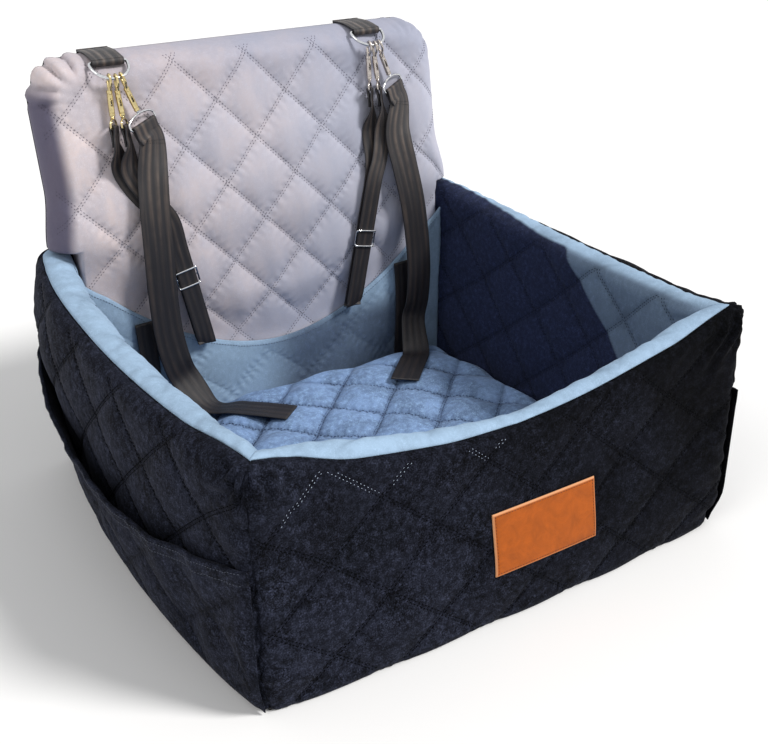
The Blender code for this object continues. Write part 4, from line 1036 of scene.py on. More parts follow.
def seam_lines(count, extent, pattern):
    """Places a, b along the diagonal seams, two rows to each, moved over by half of the row spacing."""
    wide, high, across, up = pattern
    space = bpy.context.scene.seat_quilting.row_space / 2
    steep = hypot(1 / wide, 1 / high)
    for sign in (1, -1):
        slope = np.array([1 / high, -sign / wide]) / steep
        over = np.array([1 / wide, sign / high]) / steep
        for k in range(-count, count + 1):
            for row in (-1, 1):
                t = np.arange(-extent, extent, 0.0028) + row * 0.0014
                foot = np.array([across, up]) + over * (k / steep + row * space)
                yield foot[0] + slope[0] * t, foot[1] + slope[1] * t


def wall_lines(cloth):
    """Runs of points along the diagonal seams of a wall's cloth. The front's are cut into short ones."""
    clear, runs = 0.0060, []
    for a, b in seam_lines(16, 0.7, cloth.pattern):
        u = np.clip(a / cloth.half, -1, 1)
        low, high = cloth.spans(u)
        keep = (np.abs(a) < cloth.half - clear) & (b > low + clear) & (b < high - clear)
        keep &= (b > cloth.top(u) + 0.020) if cloth.inner else (b < high - 0.012)
        if keep.any():
            runs += split_runs(cloth.at(u, np.clip(b, low, high)), keep)
    if cloth.sign or cloth.inner:
        return runs
    return [run[k : k + 12] for run in runs for k in range(0, len(run) - 3, 11)]


def split_runs(points, keep):
    """The stretches of points that are kept, as separate runs of more than three."""
    runs = [[]]
    for point, kept in zip(points, keep):
        if kept:
            runs[-1].append(tuple(point))
        elif runs[-1]:
            runs.append([])
    return [run for run in runs if len(run) > 3]


@cache
def mark_tree():
    """Geometry nodes that set pressed marks or stitches along runs of edges."""
    tree, start, end = make_group(
        "marks along seams", "GeometryNodeTree",
        (("Geometry", "Geometry", None), ("Pitch", "Float", 0.0056), ("Length", "Float", 0.003),
         ("Width", "Float", 0.001), ("Material", "Material", None)),
        (("Geometry", "Geometry"),))
    curves = tree.nodes.new("GeometryNodeMeshToCurve")
    spots = new_node(tree, "GeometryNodeCurveToPoints", {"mode": "LENGTH"})
    bead = new_node(tree, "GeometryNodeMeshIcoSphere", Subdivisions=1, Radius=0.5)
    size = tree.nodes.new("ShaderNodeCombineXYZ")
    place = tree.nodes.new("GeometryNodeInstanceOnPoints")
    real = tree.nodes.new("GeometryNodeRealizeInstances")
    paint = tree.nodes.new("GeometryNodeSetMaterial")
    for source, output, target, socket in (
        (start, "Geometry", curves, "Mesh"), (curves, "Curve", spots, "Curve"),
        (start, "Pitch", spots, "Length"),
        (start, "Width", size, "X"), (start, "Width", size, "Y"), (start, "Length", size, "Z"),
        (spots, "Points", place, "Points"), (spots, "Rotation", place, "Rotation"),
        (bead, "Mesh", place, "Instance"), (size, 0, place, "Scale"), (place, "Instances", real, "Geometry"),
        (real, "Geometry", paint, "Geometry"), (start, "Material", paint, "Material"),
        (paint, "Geometry", end, "Geometry")):
        tree.links.new(source.outputs[output], target.inputs[socket])
    return tree


def evaluated_mesh(obj):
    """A plain mesh of what an object's modifiers make."""
    bpy.context.view_layer.update()
    graph = bpy.context.evaluated_depsgraph_get()
    return bpy.data.meshes.new_from_object(obj.evaluated_get(graph))


def hem_run(outer, z, edge, margin, lift):
    """Points of a sheet, lifted off it, in the grid rows nearest to a line."""
    rows = np.argmin(np.abs(z - edge), axis=1)
    return [tuple(outer[i, rows[i]] + np.array(lift)) for i in range(margin, len(z) - margin)]


def press_marks(name, runs, body, material, size=1.0):
    q = bpy.context.scene.seat_quilting
    return stitches(name, runs, body, material, q.mark_pitch, q.mark_length * size, q.mark_width * size)


def stitches(name, runs, body, material, pitch=0.0042, length=0.0030, width=0.0009):
    """A piece of small marks or stitches, set along runs of points by the node tree."""
    points, edges = [], []
    for run in runs:
        edges += [(len(points) + k, len(points) + k + 1) for k in range(len(run) - 1)]
        points += [tuple(p) for p in run]
    obj = new_object(name, new_mesh(name, points, edges, []))
    modifier = obj.modifiers.new("marks", "NODES")
    modifier.node_group = mark_tree()
    given = {"Pitch": pitch, "Length": length, "Width": width, "Material": material}
    for item in modifier.node_group.interface.items_tree:
        if item.in_out == "INPUT" and item.name in given:
            modifier[item.identifier] = given[item.name]
    obj.data = evaluated_mesh(obj)
    obj.modifiers.clear()
    obj.data.shade_smooth()
    return finish_piece(obj, body, material)


# Rear wall


def rear_lining_edge(x):
    half = HALF_WIDTH - WALL_THICKNESS
    return REAR_LINING_MIDDLE + REAR_LINING_RISE * (np.minimum(np.abs(x), half) / half) ** 1.9


class SEAT_OT_rear(bpy.types.Operator):
    """Makes the cover behind the backrest and the lining in front of it"""

    bl_idname = "seat.rear"
    bl_label = "Rear wall"

    def execute(self, context):
        relief = context.scene.seat_quilting.relief
        u, t = unit_grid(240, 112)
        self.cover(u, t, relief * 0.8)
        self.lining(u, t, relief * 0.7)
        return {"FINISHED"}

    def cover(self, u, t, relief):
        """The outer cover, which stands behind the backrest."""
        corner = np.clip((np.abs(u) * HALF_WIDTH - (HALF_WIDTH - RIM_RADIUS)) / RIM_RADIUS, 0, 1)
        top = REAR_CORNER_HEIGHT - RIM_RADIUS + RIM_RADIUS * np.sqrt(1 - corner**2)
        z = WALL_BASE + (top - WALL_BASE) * t
        x = u * HALF_WIDTH
        edge = np.minimum.reduce([(1 - np.abs(u)) * HALF_WIDTH, top - z, z - WALL_BASE])
        rise = wall_relief(x, z, 91, relief, REAR_QUILT) * ease(edge / 0.03) - 0.0024 * hump(edge, 0.004)
        outer = settle(stacked(x, HALF_DEPTH + rise, z))
        inner = settle(coarse(stacked(x, HALF_DEPTH - 0.0045, z)))
        obj = sheet_mesh("rear_wall_cover", outer, inner, stacked(x, z), None, -1)
        finish_piece(obj, "box", navy_velvet(), ["rear_outer_cover"])

    def lining(self, u, t, relief):
        """The lining in front of the backrest, with the stitches of its hem."""
        top = rear_lining_edge(u * (HALF_WIDTH - WALL_THICKNESS))
        z = LINING_BASE + (top - LINING_BASE) * t
        front, rear = side_ends(WALL_THICKNESS)
        share = 2 * ((REAR_LINING_FRONT + REAR_LINING_BACK) / 2 - front) / (rear - front) - 1
        x = u * (side_place(1)(np.full_like(z, share), WALL_THICKNESS, z)[..., 0] - FIT_SIDE)
        edge = np.minimum((1 - np.abs(u)) * 0.26, top - z)
        rise = wall_relief(x, z, 73, relief, LINING_QUILT) * ease(edge / 0.03) - 0.0016 * hump(edge, 0.003)
        outer = settle(stacked(x, REAR_LINING_FRONT - np.maximum(rise, -0.002), z))
        inner = settle(coarse(stacked(x, REAR_LINING_BACK, z)))
        # Painted shadow: the lining goes darker towards its foot, away from its ends, and more on the right.
        shaded = 0.35 + 0.30 * ease((x + 0.06) / 0.10)
        fade = ease((0.20 - z) / 0.09) * ease((0.245 - np.abs(x)) / 0.03) * shaded
        obj = sheet_mesh("rear_wall_lining", outer, inner, stacked(x, z), {"fade": fade}, 1)
        finish_piece(obj, "box", lining_velvet(), ["rear_inner_lining"])
        stitches("lining_hem_stitches", [hem_run(outer, z, top - 0.006, 4, (0, -0.0003, 0))], "box",
                 thread_material("grey thread", "5c6880"))


# Cushion


def cushion_reach(v):
    bow = SIDE_BULGE * (1 - INNER_BOW) * 0.65 * (1 - v * v)
    return HALF_WIDTH - WALL_THICKNESS + bow - CUSHION_SIDE_GAP


def cushion_plan(u, v, inset):
    half_depth = (CUSHION_REAR - CUSHION_FRONT) / 2 - inset
    y = (CUSHION_REAR + CUSHION_FRONT) / 2 + v * half_depth * np.sqrt(1 - CUSHION_CORNER * u * u)
    scallop = CUSHION_SCALLOP * np.cos(2 * pi * y / QUILT_HEIGHT) * np.abs(u)
    reach = cushion_reach(v) - inset - CUSHION_SCALLOP + scallop * (1 - v * v)
    return u * reach * np.sqrt(1 - CUSHION_CORNER * v * v), y


def cushion_crown(x, y):
    v = 2 * (y - CUSHION_FRONT) / (CUSHION_REAR - CUSHION_FRONT) - 1
    u = x / cushion_reach(v)
    rise = np.maximum(0.0, 1 - u**4) * np.maximum(0.0, 1 - v**4)
    return FLOOR_TOP + GAP + CUSHION_EDGE + CUSHION_CROWN * rise


def cushion_puff(x, y, inside):
    """How far the quilting stands out of the cushion's crown."""
    puffed = 0.0125 * (quilt(x, y, CUSHION_QUILT) - 0.70) * np.clip(0.35 + inside, 0, 1)
    return puffed + 0.0012 * puckers(x, y, 61, CUSHION_QUILT) * inside + 0.0022 * waves(x, y, 63, 0.07)


def cushion_surface(u, v):
    """The cushion's upper side and its rounded edge, for u and v from -1 to 1."""
    flat, base = 0.88, FLOOR_TOP + GAP
    reach = np.maximum(np.abs(u), np.abs(v))
    scale = np.minimum(1.0, flat / np.maximum(reach, 1e-9))
    outside = np.clip((reach - flat) / (1 - flat), 0, 1)
    insets, levels = np.array(CUSHION_ROUND)[::-1].T
    line = np.linspace(0, 1, len(levels))
    x, y = cushion_plan(u * scale * (1 / flat), v * scale * (1 / flat), np.interp(outside, line, insets))
    z = cushion_crown(x, y) + cushion_puff(x, y, np.clip(5 * (1 - reach / flat), 0, 1))
    return stacked(x, y, base + (z - base) * np.interp(outside, line, levels))


class SEAT_OT_cushion(bpy.types.Operator):
    """Makes the quilted seat cushion and its pressed marks"""

    bl_idname = "seat.cushion"
    bl_label = "Cushion"

    def execute(self, context):
        u, v = unit_grid(216, 216, -1.0)
        outer = cushion_surface(u, v)
        inner = coarse(outer).copy()
        reach = coarse(np.maximum(np.abs(u), np.abs(v)))
        inner[..., 2] = np.where(reach > 0.999, FLOOR_TOP + GAP + 0.0005, FLOOR_TOP + GAP)
        # Painted shade along the cushion's quilting seams.
        dip = seam_shade_mask(outer[..., 0], outer[..., 1], CUSHION_QUILT)
        obj = sheet_mesh("quilted_cushion", outer, inner, outer[..., :2], {"dip": dip}, 1)
        finish_piece(obj, "cushion", cushion_velvet(), ["seat_cushion"])
        runs = []
        span = (CUSHION_REAR - CUSHION_FRONT) / 2 - 0.027
        for a, b in seam_lines(12, 0.5, CUSHION_QUILT):
            up = (b - (CUSHION_REAR + CUSHION_FRONT) / 2) / span
            across = a / np.maximum(cushion_reach(np.clip(up, -1, 1)) - 0.03, 0.1)
            inside = (np.abs(across) < 0.96) & (np.abs(up) < 0.96)
            runs += split_runs(stacked(a, b, cushion_top(a, b)), inside)
        press_marks("cushion_marks", runs, "cushion",
                    pressed_material("cushion pressed marks", "2c3650"))
        return {"FINISHED"}


def cushion_top(x, y):
    v = 2 * (y - CUSHION_FRONT) / (CUSHION_REAR - CUSHION_FRONT) - 1
    reach = np.maximum(np.abs(x) / cushion_reach(np.clip(v, -1, 1)), np.abs(v))
    return cushion_crown(x, y) + cushion_puff(x, y, np.clip(5 * (1 - reach / 0.96), 0, 1)) + 0.0002


# Backrest


def backrest_lean(z):
    rise = np.maximum(z - REAR_CORNER_HEIGHT, 0)
    return np.where(rise < LEAN_START, BACKREST_LEAN * rise**2 / (2 * LEAN_START),
                    BACKREST_LEAN * (rise - LEAN_START / 2))


def upper_half_width(z):
    rise = np.maximum(z - (BACKREST_TOP - BACKREST_CORNER), 0)
    return BACKREST_WIDTH / 2 - BACKREST_CORNER + np.sqrt(np.maximum(0.0, BACKREST_CORNER**2 - rise**2))


def full_depth(x, z):
    """Depth of the backrest away from its edges, which grows above the lining."""
    return BACKREST_THICKNESS + BACKREST_PUFF * ease((z - rear_lining_edge(x) - FREE_START) / FREE_LENGTH)


def backrest_depth(x, z):
    edge = np.minimum(upper_half_width(z) - np.abs(x), BACKREST_TOP - z)
    rounding = np.sqrt(1 - (1 - np.clip(edge / ROLL_WIDTH, 0, 1)) ** 2)
    return EDGE_DEPTH + (full_depth(x, z) - EDGE_DEPTH) * rounding


def face_y(x, z):
    return TONGUE_BACK + backrest_lean(z) - backrest_depth(x, z) - 0.005


def cloth_half_width(x, z):
    """Half width of the backrest's cloth on the side of x, a little drawn in over the shoulders."""
    drawn_in = np.where(x > 0, BACKREST_NARROWING["right"], BACKREST_NARROWING["left"])
    return upper_half_width(z) - drawn_in * ease((z - SHOULDER) / 0.07)


def corner_gathers(x, z):
    """Lumps round the backrest's upper corners: from -1 in their creases to 1, and their weight."""
    across, up = np.abs(x) - GATHER_CENTRE[0], z - GATHER_CENTRE[1]
    angle = np.arctan2(up, across)
    lumps = 2 * np.abs(np.sin(angle * GATHER_TURNS + 1.5 * waves(x, z, 49, 0.07))) ** 0.6 - 1
    reach = np.hypot(across, up)
    weight = ease((reach - 0.018) / 0.030) * ease((angle + 0.15) / 0.4) * ease((1.9 - angle) / 0.4)
    return lumps, weight * np.where(x > 0, GATHERING["right"], GATHERING["left"])


def edge_distance(x, z):
    """Distance from the backrest's side or top, whichever is nearer."""
    return np.minimum(cloth_half_width(x, z) - np.abs(x), BACKREST_TOP - z)


def padded_y(x, z):
    """Where the quilted face of the backrest stands, with its puckers and slack."""
    free = ease((z - rear_lining_edge(x) - 0.004) / 0.05)
    edge = edge_distance(x, z)
    inside = ease(edge / 0.03)
    roll = np.minimum((cloth_half_width(x, z) - np.abs(x)) / 0.040, (BACKREST_TOP - z) / 0.020)
    rounding = np.sqrt(1 - (1 - np.clip(roll, 0, 1)) ** 2.2)
    depth = 0.010 + (full_depth(x, z) - 0.010) * rounding
    quilted = 0.0072 * quilt(x, z, BACKREST_QUILT) + 0.0008 * puckers(x, z, 41, BACKREST_QUILT)
    depth = depth + free * inside * quilted
    # Behind the lining the seams only sink in, so that the backrest keeps its fit in the pocket.
    depth = depth - 0.0026 * (1 - free) * inside * (1 - quilt(x, z, BACKREST_QUILT))
    depth = depth + 0.0024 * free * inside * waves(x, z, 47, 0.09, stretch=1.8)
    depth = depth + 0.0011 * free * inside * waves(x, z, 53, 0.040, stretch=2.4)
    lumps, weight = corner_gathers(x, z)
    depth = depth + 0.0060 * lumps * weight * ease(edge / 0.008) * (1 - 0.85 * ease(edge / 0.036))
    depth = depth + 0.0012 * hump(edge, 0.018) * waves(x, z, 51, 0.035)
    return TONGUE_BACK + backrest_lean(z) - depth


class SEAT_OT_backrest(bpy.types.Operator):
    """Makes the padded backrest, its navy back and its pressed marks"""

    bl_idname = "seat.backrest"
    bl_label = "Backrest"

    def execute(self, context):
        wide = BACKREST_WIDTH / 2
        tongue = TONGUE_HALF_WIDTH + 0.010
        quarter = np.sin(np.linspace(0, pi / 2, 29))[1:]
        rim = wide - (wide - tongue) * (1 - quarter)
        across = np.concatenate([-rim[::-1], np.linspace(-tongue, tongue, 193), rim])
        arc = BACKREST_TOP - BACKREST_CORNER
        heights = np.concatenate([np.linspace(LINING_BASE, SHOULDER, 89), np.linspace(SHOULDER, arc, 61)[1:],
                                  arc + BACKREST_CORNER * quarter])
        x, z = np.meshgrid(across, heights, indexing="ij")
        drawn = x * cloth_half_width(x, z) / wide
        kept = ~((z < SHOULDER - 1e-6) & (np.abs(x) > tongue + GAP))
        lumps, weight = corner_gathers(drawn, z)
        edge = edge_distance(drawn, z)
        outward = 0.0036 * (lumps - 0.5) * weight * (1 - ease(edge / 0.03))
        lumpy_x = drawn + np.sign(drawn) * outward
        near_top = ease((z - 0.49) / 0.03)
        up = z + outward * near_top
        lean = TONGUE_BACK + backrest_lean(z)
        # Painted shade: the left roll of the backrest, below its top, is marked for a darker grey purple.
        turned = 0.92 * (1 - ease((edge - 0.013) / 0.015)) * (x < 0) * ease((0.505 - z) / 0.03)
        obj = slab("padded_backrest", stacked(lumpy_x, padded_y(drawn, z), up),
                   stacked(lumpy_x, lean - BACK_COVER - FIT_SIDE, up), kept, {"turned": turned})
        finish_piece(obj, "backrest", lilac_velvet(), ["backrest_front_cover"])
        swell = 0.0018 * (quilt(drawn, z, BACKREST_QUILT) - 0.3) * ease(edge / 0.03)
        swell = swell * ease((z - 0.30) / 0.03)
        hidden = np.maximum(1 - 0.008 * np.maximum(weight, 0), 0)
        drop = (0.0016 + 0.002 * weight) * near_top
        back = stacked(lumpy_x, lean - BACK_COVER, up)
        outside = stacked(lumpy_x * hidden, lean + swell - 0.0012 * hump(edge, 0.004), up - drop)
        obj = slab("backrest_back", back[::2, ::2], outside[::2, ::2], kept[::2, ::2])
        finish_piece(obj, "backrest", navy_velvet(), ["backrest_back_cover"])
        runs = []
        for a, b in seam_lines(16, 0.8, BACKREST_QUILT):
            level = np.minimum(b, BACKREST_TOP)
            keep = (np.abs(a) < cloth_half_width(a, level) - 0.006) & (b < BACKREST_TOP - 0.006)
            keep &= (b > LINING_BASE + 0.012) & ((b > SHOULDER + 0.004) | (np.abs(a) < tongue - 0.004))
            if keep.any():
                runs += split_runs(stacked(a, padded_y(a, level) - 0.0001, b), keep)
        press_marks("backrest_marks", runs, "backrest",
                    pressed_material("backrest pressed marks", "54505c"))
        return {"FINISHED"}


def slab(name, face, rear, kept, values=None):
    """A closed slab between two grids, without the cells that touch a missing point."""
    count = int(kept.sum())
    index = np.full(kept.shape, -1)
    index[kept] = np.arange(count)
    quads = cells(index)
    quads = quads[(quads >= 0).all(1)]
    faces = quads.tolist() + (quads[:, ::-1] + count).tolist()
    edges = dict.fromkeys((quad[k], quad[(k + 1) % 4]) for quad in quads.tolist() for k in range(4))
    for first, second in edges:
        if (second, first) not in edges:
            faces.append([second, first, first + count, second + count])
    points = np.concatenate([face[kept], rear[kept]])
    held = {key: np.concatenate([value[kept], value[kept]]) for key, value in (values or {}).items()}
    return mesh_object(name, points, faces, points[:, [0, 2]], held)


# Pockets and label


class SEAT_OT_pockets(bpy.types.Operator):
    """Makes the two side pockets with their stitched hems"""

    bl_idname = "seat.pockets"
    bl_label = "Pockets"

    def execute(self, context):
        relief = context.scene.seat_quilting.relief * 1.2
        wall_front, wall_rear = side_ends(0.0)
        front, rear = wall_front + 0.0015, wall_rear - 0.002
        u, t = unit_grid(220, 72)
        hem = POCKET_HEM - POCKET_DIP * (1 - u * u)
        y = front + (rear - front) * (u + 1) / 2
        z = WALL_BASE + (hem - WALL_BASE) * t
        ends = ease((1 - np.abs(u)) * POCKET_HALF / 0.016)
        wall_u = 2 * (y - wall_front) / (wall_rear - wall_front) - 1
        bow = SIDE_BULGE * (1 - wall_u * wall_u) * belly(z / side_rim(wall_u))
        x = HALF_WIDTH + bow + (0.0008 + 0.020 * (1 - u * u) * t**1.3)
        band = ease((hem - z) / 0.004) * ease((z - (hem - POCKET_BAND)) / 0.002)
        edge = np.minimum((1 - np.abs(u)) * POCKET_HALF, z - WALL_BASE)
        free = ease((hem - 0.019 - z) / 0.02)
        for k, (side, sign) in enumerate(SIDES.items()):
            rise = wall_relief(y, z, 81 + k, relief, SIDE_QUILT) * ease(edge / 0.02) * free
            gather = 0.0010 * waves(y, z, 85 + k, 0.020, stretch=5.0) * (1 - free) * ease(edge / 0.02)
            fold = 0.0026 * waves(y, z, 87 + k, 0.07, stretch=3.5) * ease(edge / 0.05)
            outer_x = x + 0.0040 + 0.0013 * band + rise + gather + fold * 0.8
            outer_x = outer_x - 0.0022 * hump(edge, 0.005) - 0.0028 * (1 - ends)
            outer = settle(stacked(sign * outer_x, y, z))
            inner = settle(coarse(stacked(sign * (x + fold * 0.8), y, z)))
            # Painted shade along the pocket's quilting seams.
            dip = seam_shade_mask(y, z, SIDE_QUILT) * free
            obj = sheet_mesh(f"{side}_side_pocket", outer, inner, stacked(y, z), {"dip": dip}, sign)
            finish_piece(obj, "box", navy_velvet(), [f"{side}_pocket"])
            runs = [hem_run(outer, z, hem - drop, 3, (sign * 0.0002, 0, 0)) for drop in (0.0035, 0.0165)]
            stitches(f"{side}_pocket_stitches", runs, "box",
                     thread_material("navy thread", "3a4152"))
        return {"FINISHED"}


class SEAT_OT_label(bpy.types.Operator):
    """Makes the bare leather label with its stitched border"""

    bl_idname = "seat.label"
    bl_label = "Label"

    def execute(self, context):
        half_w, half_h = LABEL_SIZE[0] / 2, LABEL_SIZE[1] / 2
        u, t = unit_grid(136, 72, -1.0)
        x = LABEL_CENTRE[0] + u * half_w
        z = LABEL_CENTRE[1] + t * half_h
        y = self.cloth_y(x, z)
        edge = np.minimum((1 - np.abs(u)) * half_w, (1 - np.abs(t)) * half_h)
        rounding = np.sqrt(np.clip(1 - np.clip(1 - edge / 0.0012, 0, 1) ** 2, 0, 1))
        groove = 0.00045 * hump(edge - LABEL_SEAM, 0.0008)
        outer = stacked(x, y - GAP - LABEL_THICKNESS * (0.35 + 0.65 * rounding) + groove, z)
        inner = coarse(stacked(x, y - GAP, z))
        obj = sheet_mesh("leather_label", outer, inner, stacked(x, z), {"rim": hump(edge, 0.0012) * 0.9}, 1)
        finish_piece(obj, "box", leather_material(), ["label_patch"])
        w, h = half_w - LABEL_SEAM, half_h - LABEL_SEAM
        corners = [(-w, -h), (w, -h), (w, h), (-w, h), (-w, -h)]
        share = np.arange(41) / 40
        runs = []
        for (x0, z0), (x1, z1) in zip(corners, corners[1:]):
            x = LABEL_CENTRE[0] + x0 + (x1 - x0) * share
            z = LABEL_CENTRE[1] + z0 + (z1 - z0) * share
            runs.append(stacked(x, self.cloth_y(x, z) - GAP - LABEL_THICKNESS + 0.0002, z))
        stitches("label_stitches", runs, "box", thread_material("brown thread", "5a2c12"),
                 0.0036, 0.0026, 0.0007)
        return {"FINISHED"}

    def cloth_y(self, x, z):
        """Where the front wall's cloth stands behind the label."""
        return settle(skin(front_place, front_rim, x / HALF_WIDTH, z - CLOTH_BASE, CLOTH_BASE))[..., 1]


# Tabs, rings and snap hooks, as in the part's source

WEBBING_THICKNESS = 0.0018
TAB_SPACING = 0.356
TAB_SHIFT = -0.014
TAB_WIDTH = 0.040
TAB_TAIL = 0.032
TAB_UNDERLAP = 0.009
TAB_TAIL_RISE = 0.0022
RING_WIRE = 0.004
RING_LEG = 0.005
RING_TILT = radians(57)
RING_LOW_DROP = 0.021
SNAP_FACE_HEIGHT = 0.440
SNAP_PITCH = 0.0078
SNAP_LEANS = (radians(-3), radians(2.5), radians(18))
SNAP_STANDOFF = 0.013
SNAP_ROD = 0.003
SNAP_BEND = 0.0049
SNAP_SEAT_GAP = 0.0008
SNAP_SHANK = ((0.6, -0.346), (0.66, -0.077), (1.05, 0.215), (1.7, 0.431), (2.0, 0.708), (2.0, 1.0))
BARREL_DIAMETER = 0.007
BARREL_LENGTH = 0.030
BARREL_FLOOR = 0.0017
BORE_DIAMETER = 0.0046
BOLT_DIAMETER = 0.0038
BOLT_INSIDE = 0.0125
BOLT_TRAVEL = 0.007
BOLT_CHAMFER = 0.0007
STUD_DIAMETER = 0.0018
STUD_REACH = 0.0062
STUD_DEPTH = 0.0103
MOUTH_HEIGHT = 0.0115
SPRING_WIRE = 0.0005
SPRING_TURNS = 5
POST_DIAMETER = 0.0020
POST_HEAD = (0.0040, 0.0010)
EYE_ROD = 0.0026
EYE_SHOULDER = 0.35
KNUCKLE_DIAMETERS = (0.0045, 0.0056)
EYE_DROP = 0.0032
EYE_HEIGHTS = (0.011, 0.011, 0.014)
EYE_TURNS = (radians(50), radians(50), radians(24))
EYE_SIDE_CLEARANCE = 0.001
HANG = atan(BACKREST_LEAN)
BEND_HEIGHT = MOUTH_HEIGHT + SNAP_ROD / 2
WIRE_HEIGHT = BEND_HEIGHT + SNAP_BEND - SNAP_ROD / 2 - RING_WIRE / 2 - SNAP_SEAT_GAP

TETHER_WIDTH = 0.040
LEASH_WIDTH = 0.025
BUNCHED_WIDTH = 0.013
BUNCHED_THICKNESS = 0.0026
BUNCHED_LENGTH = 0.035
HEAD_TAIL = 0.022
TETHER_STANDOFF = 0.016
LEASH_STANDOFF = 0.009
LEASH_BACK_STANDOFF = 0.003
GLIDE_ROD = 0.0024
GLIDE_HEIGHT = 0.022
ANCHOR_WIDTH = 0.026
ANCHOR_CENTRE = 0.197
ANCHOR_LOW = 0.034
STRAP_FACE_LOW = 0.320
TETHER_REST = 0.0048
TETHER_SEAM = 0.052
STRAP_COLUMNS = 40
# How the straps shorten as the cushion rises: the height of their upper ends, and the share that is left
HOOK_LEVEL = 0.445
LEASH_SHARE = 0.62
TETHER_HANG = ((0, 0, 1), (0, 0, HOOK_LEVEL), 0.56)
STRAP_DEPTH = TONGUE_BACK - BACKREST_THICKNESS - BACKREST_PUFF - 0.005
TETHER_FALL = {
    "left": ((-0.166, 0.385), (-0.171, 0.340), (-0.173, 0.290), (-0.174, 0.235), (-0.172, 0.180),
             (-0.165, 0.135), (-0.154, 0.105)),
    "right": ((0.188, 0.385), (0.194, 0.340), (0.204, 0.290), (0.212, 0.235), (0.216, 0.180),
              (0.213, 0.135), (0.206, 0.105)),
}
TETHER_LIE = {
    "left": ((-0.134, 0.192), (-0.110, 0.165), (-0.084, 0.135), (-0.058, 0.105)),
    "right": ((0.190, 0.188), (0.168, 0.160), (0.142, 0.132), (0.116, 0.104)),
}
LEASH_FALL = {"left": ((-0.190, 0.390), (-0.172, 0.355)), "right": ((0.168, 0.390), (0.160, 0.355))}
LEASH_STRAIGHT = {"left": ((-0.152, 0.325), (-0.121, 0.165)), "right": ((0.147, 0.325), (0.112, 0.165))}
LEASH_RETURN = {"left": ((-0.199, 0.390), (-0.180, 0.355)), "right": ((0.152, 0.390), (0.152, 0.355))}


def arc_steps(count):
    """Angles from 0 to a quarter turn, in as many steps."""
    return [step / count * pi / 2 for step in range(count + 1)]


def round_the_axis(angle):
    return Vector((cos(angle), sin(angle), 0))


def smooth_path(points, steps):
    """Points along a smooth curve through the given ones, with as many steps for each stretch."""
    path = []
    ends = [points[0] * 2 - points[1], *points, points[-1] * 2 - points[-2]]
    for i in range(1, len(ends) - 2):
        p0, p1, p2, p3 = ends[i - 1 : i + 3]
        for k in range(steps):
            t = k / steps
            bend = (2 * p0 - 5 * p1 + 4 * p2 - p3) * t**2 + (3 * p1 - p0 - 3 * p2 + p3) * t**3
            path.append(0.5 * (2 * p1 + (p2 - p0) * t + bend))
    path.append(points[-1].copy())
    return path


def loop_faces(loops, count, ring=False):
    """The faces between loops of as many points each, and over both ends where they make no ring."""
    faces = []
    for i in range(loops if ring else loops - 1):
        low, high = i * count, (i + 1) % loops * count
        for k in range(count):
            n = (k + 1) % count
            faces.append((low + k, low + n, high + n, high + k))
    if not ring:
        faces.append(tuple(range(count))[::-1])
        faces.append(tuple((loops - 1) * count + k for k in range(count)))
    return faces


def loft(name, sections, ring=False):
    """A closed piece through loops of as many points each. A ring has no ends."""
    points = [tuple(p) for section in sections for p in section]
    return outward(new_mesh(name, points, [], loop_faces(len(sections), len(sections[0]), ring)))


def outward(mesh):
    """The mesh with every face of a closed shape turned to its outside."""
    bm = bmesh.new()
    bm.from_mesh(mesh)
    bmesh.ops.recalc_face_normals(bm, faces=bm.faces)
    bm.to_mesh(mesh)
    bm.free()
    return mesh


def lathe(name, profile, segments):
    """A closed (radius, height) profile turned about Z. Points with no radius meet on the axis."""
    points, rows, faces = [], [], []
    for radius, height in profile:
        if radius < 1e-9:
            rows.append([len(points)] * segments)
            points.append((0, 0, height))
            continue
        rows.append(list(range(len(points), len(points) + segments)))
        for k in range(segments):
            a = 2 * pi * k / segments
            points.append((radius * cos(a), radius * sin(a), height))
    for i, lower in enumerate(rows):
        following = (i + 1) % len(rows)
        if profile[i][0] < 1e-9 and profile[following][0] < 1e-9:
            continue
        upper = rows[following]
        for k in range(segments):
            n = (k + 1) % segments
            faces.append(tuple(dict.fromkeys((lower[k], lower[n], upper[n], upper[k]))))
    return outward(new_mesh(name, points, [], faces))


def swept_rod(name, path, diameter, sides, ring=False, across=RIGHT):
    """A round rod along a path that lies square to the across direction."""
    sections = []
    count, radius = len(path), diameter / 2
    turn = [2 * pi * (k + 0.5) / sides for k in range(sides)]
    for i, point in enumerate(path):
        before = path[i - 1] if i or ring else path[0]
        after = path[(i + 1) % count] if i < count - 1 or ring else path[-1]
        side = (after - before).normalized().cross(across).normalized()
        sections.append([point + radius * (cos(a) * across + sin(a) * side) for a in turn])
    return loft(name, sections, ring)


def combine(name, base, joined=(), cut=()):
    """The base mesh with meshes joined to it, then others cut from it, worked in millimetres."""
    made = []
    for mesh in (base, *joined, *cut):
        mesh.transform(Matrix.Scale(1000, 4))
        made.append(new_object(mesh.name, mesh))
    for k, other in enumerate(made[1:]):
        modifier = made[0].modifiers.new(f"step {k}", "BOOLEAN")
        modifier.operation = "UNION" if k < len(joined) else "DIFFERENCE"
        modifier.solver = "EXACT"
        modifier.object = other
    mesh = evaluated_mesh(made[0])
    for obj in made:
        bpy.data.objects.remove(obj, do_unlink=True)
    mesh.transform(Matrix.Scale(0.001, 4))
    mesh.name = name
    return mesh


def metal_piece(name, mesh, place, body, material, node):
    """A metal piece whose mesh is put in its place, shaded smooth but for its edges."""
    mesh.transform(place)
    mesh.shade_smooth()
    mesh.set_sharp_from_angle(angle=radians(35))
    return finish_piece(new_object(name, mesh), body, material, [node])


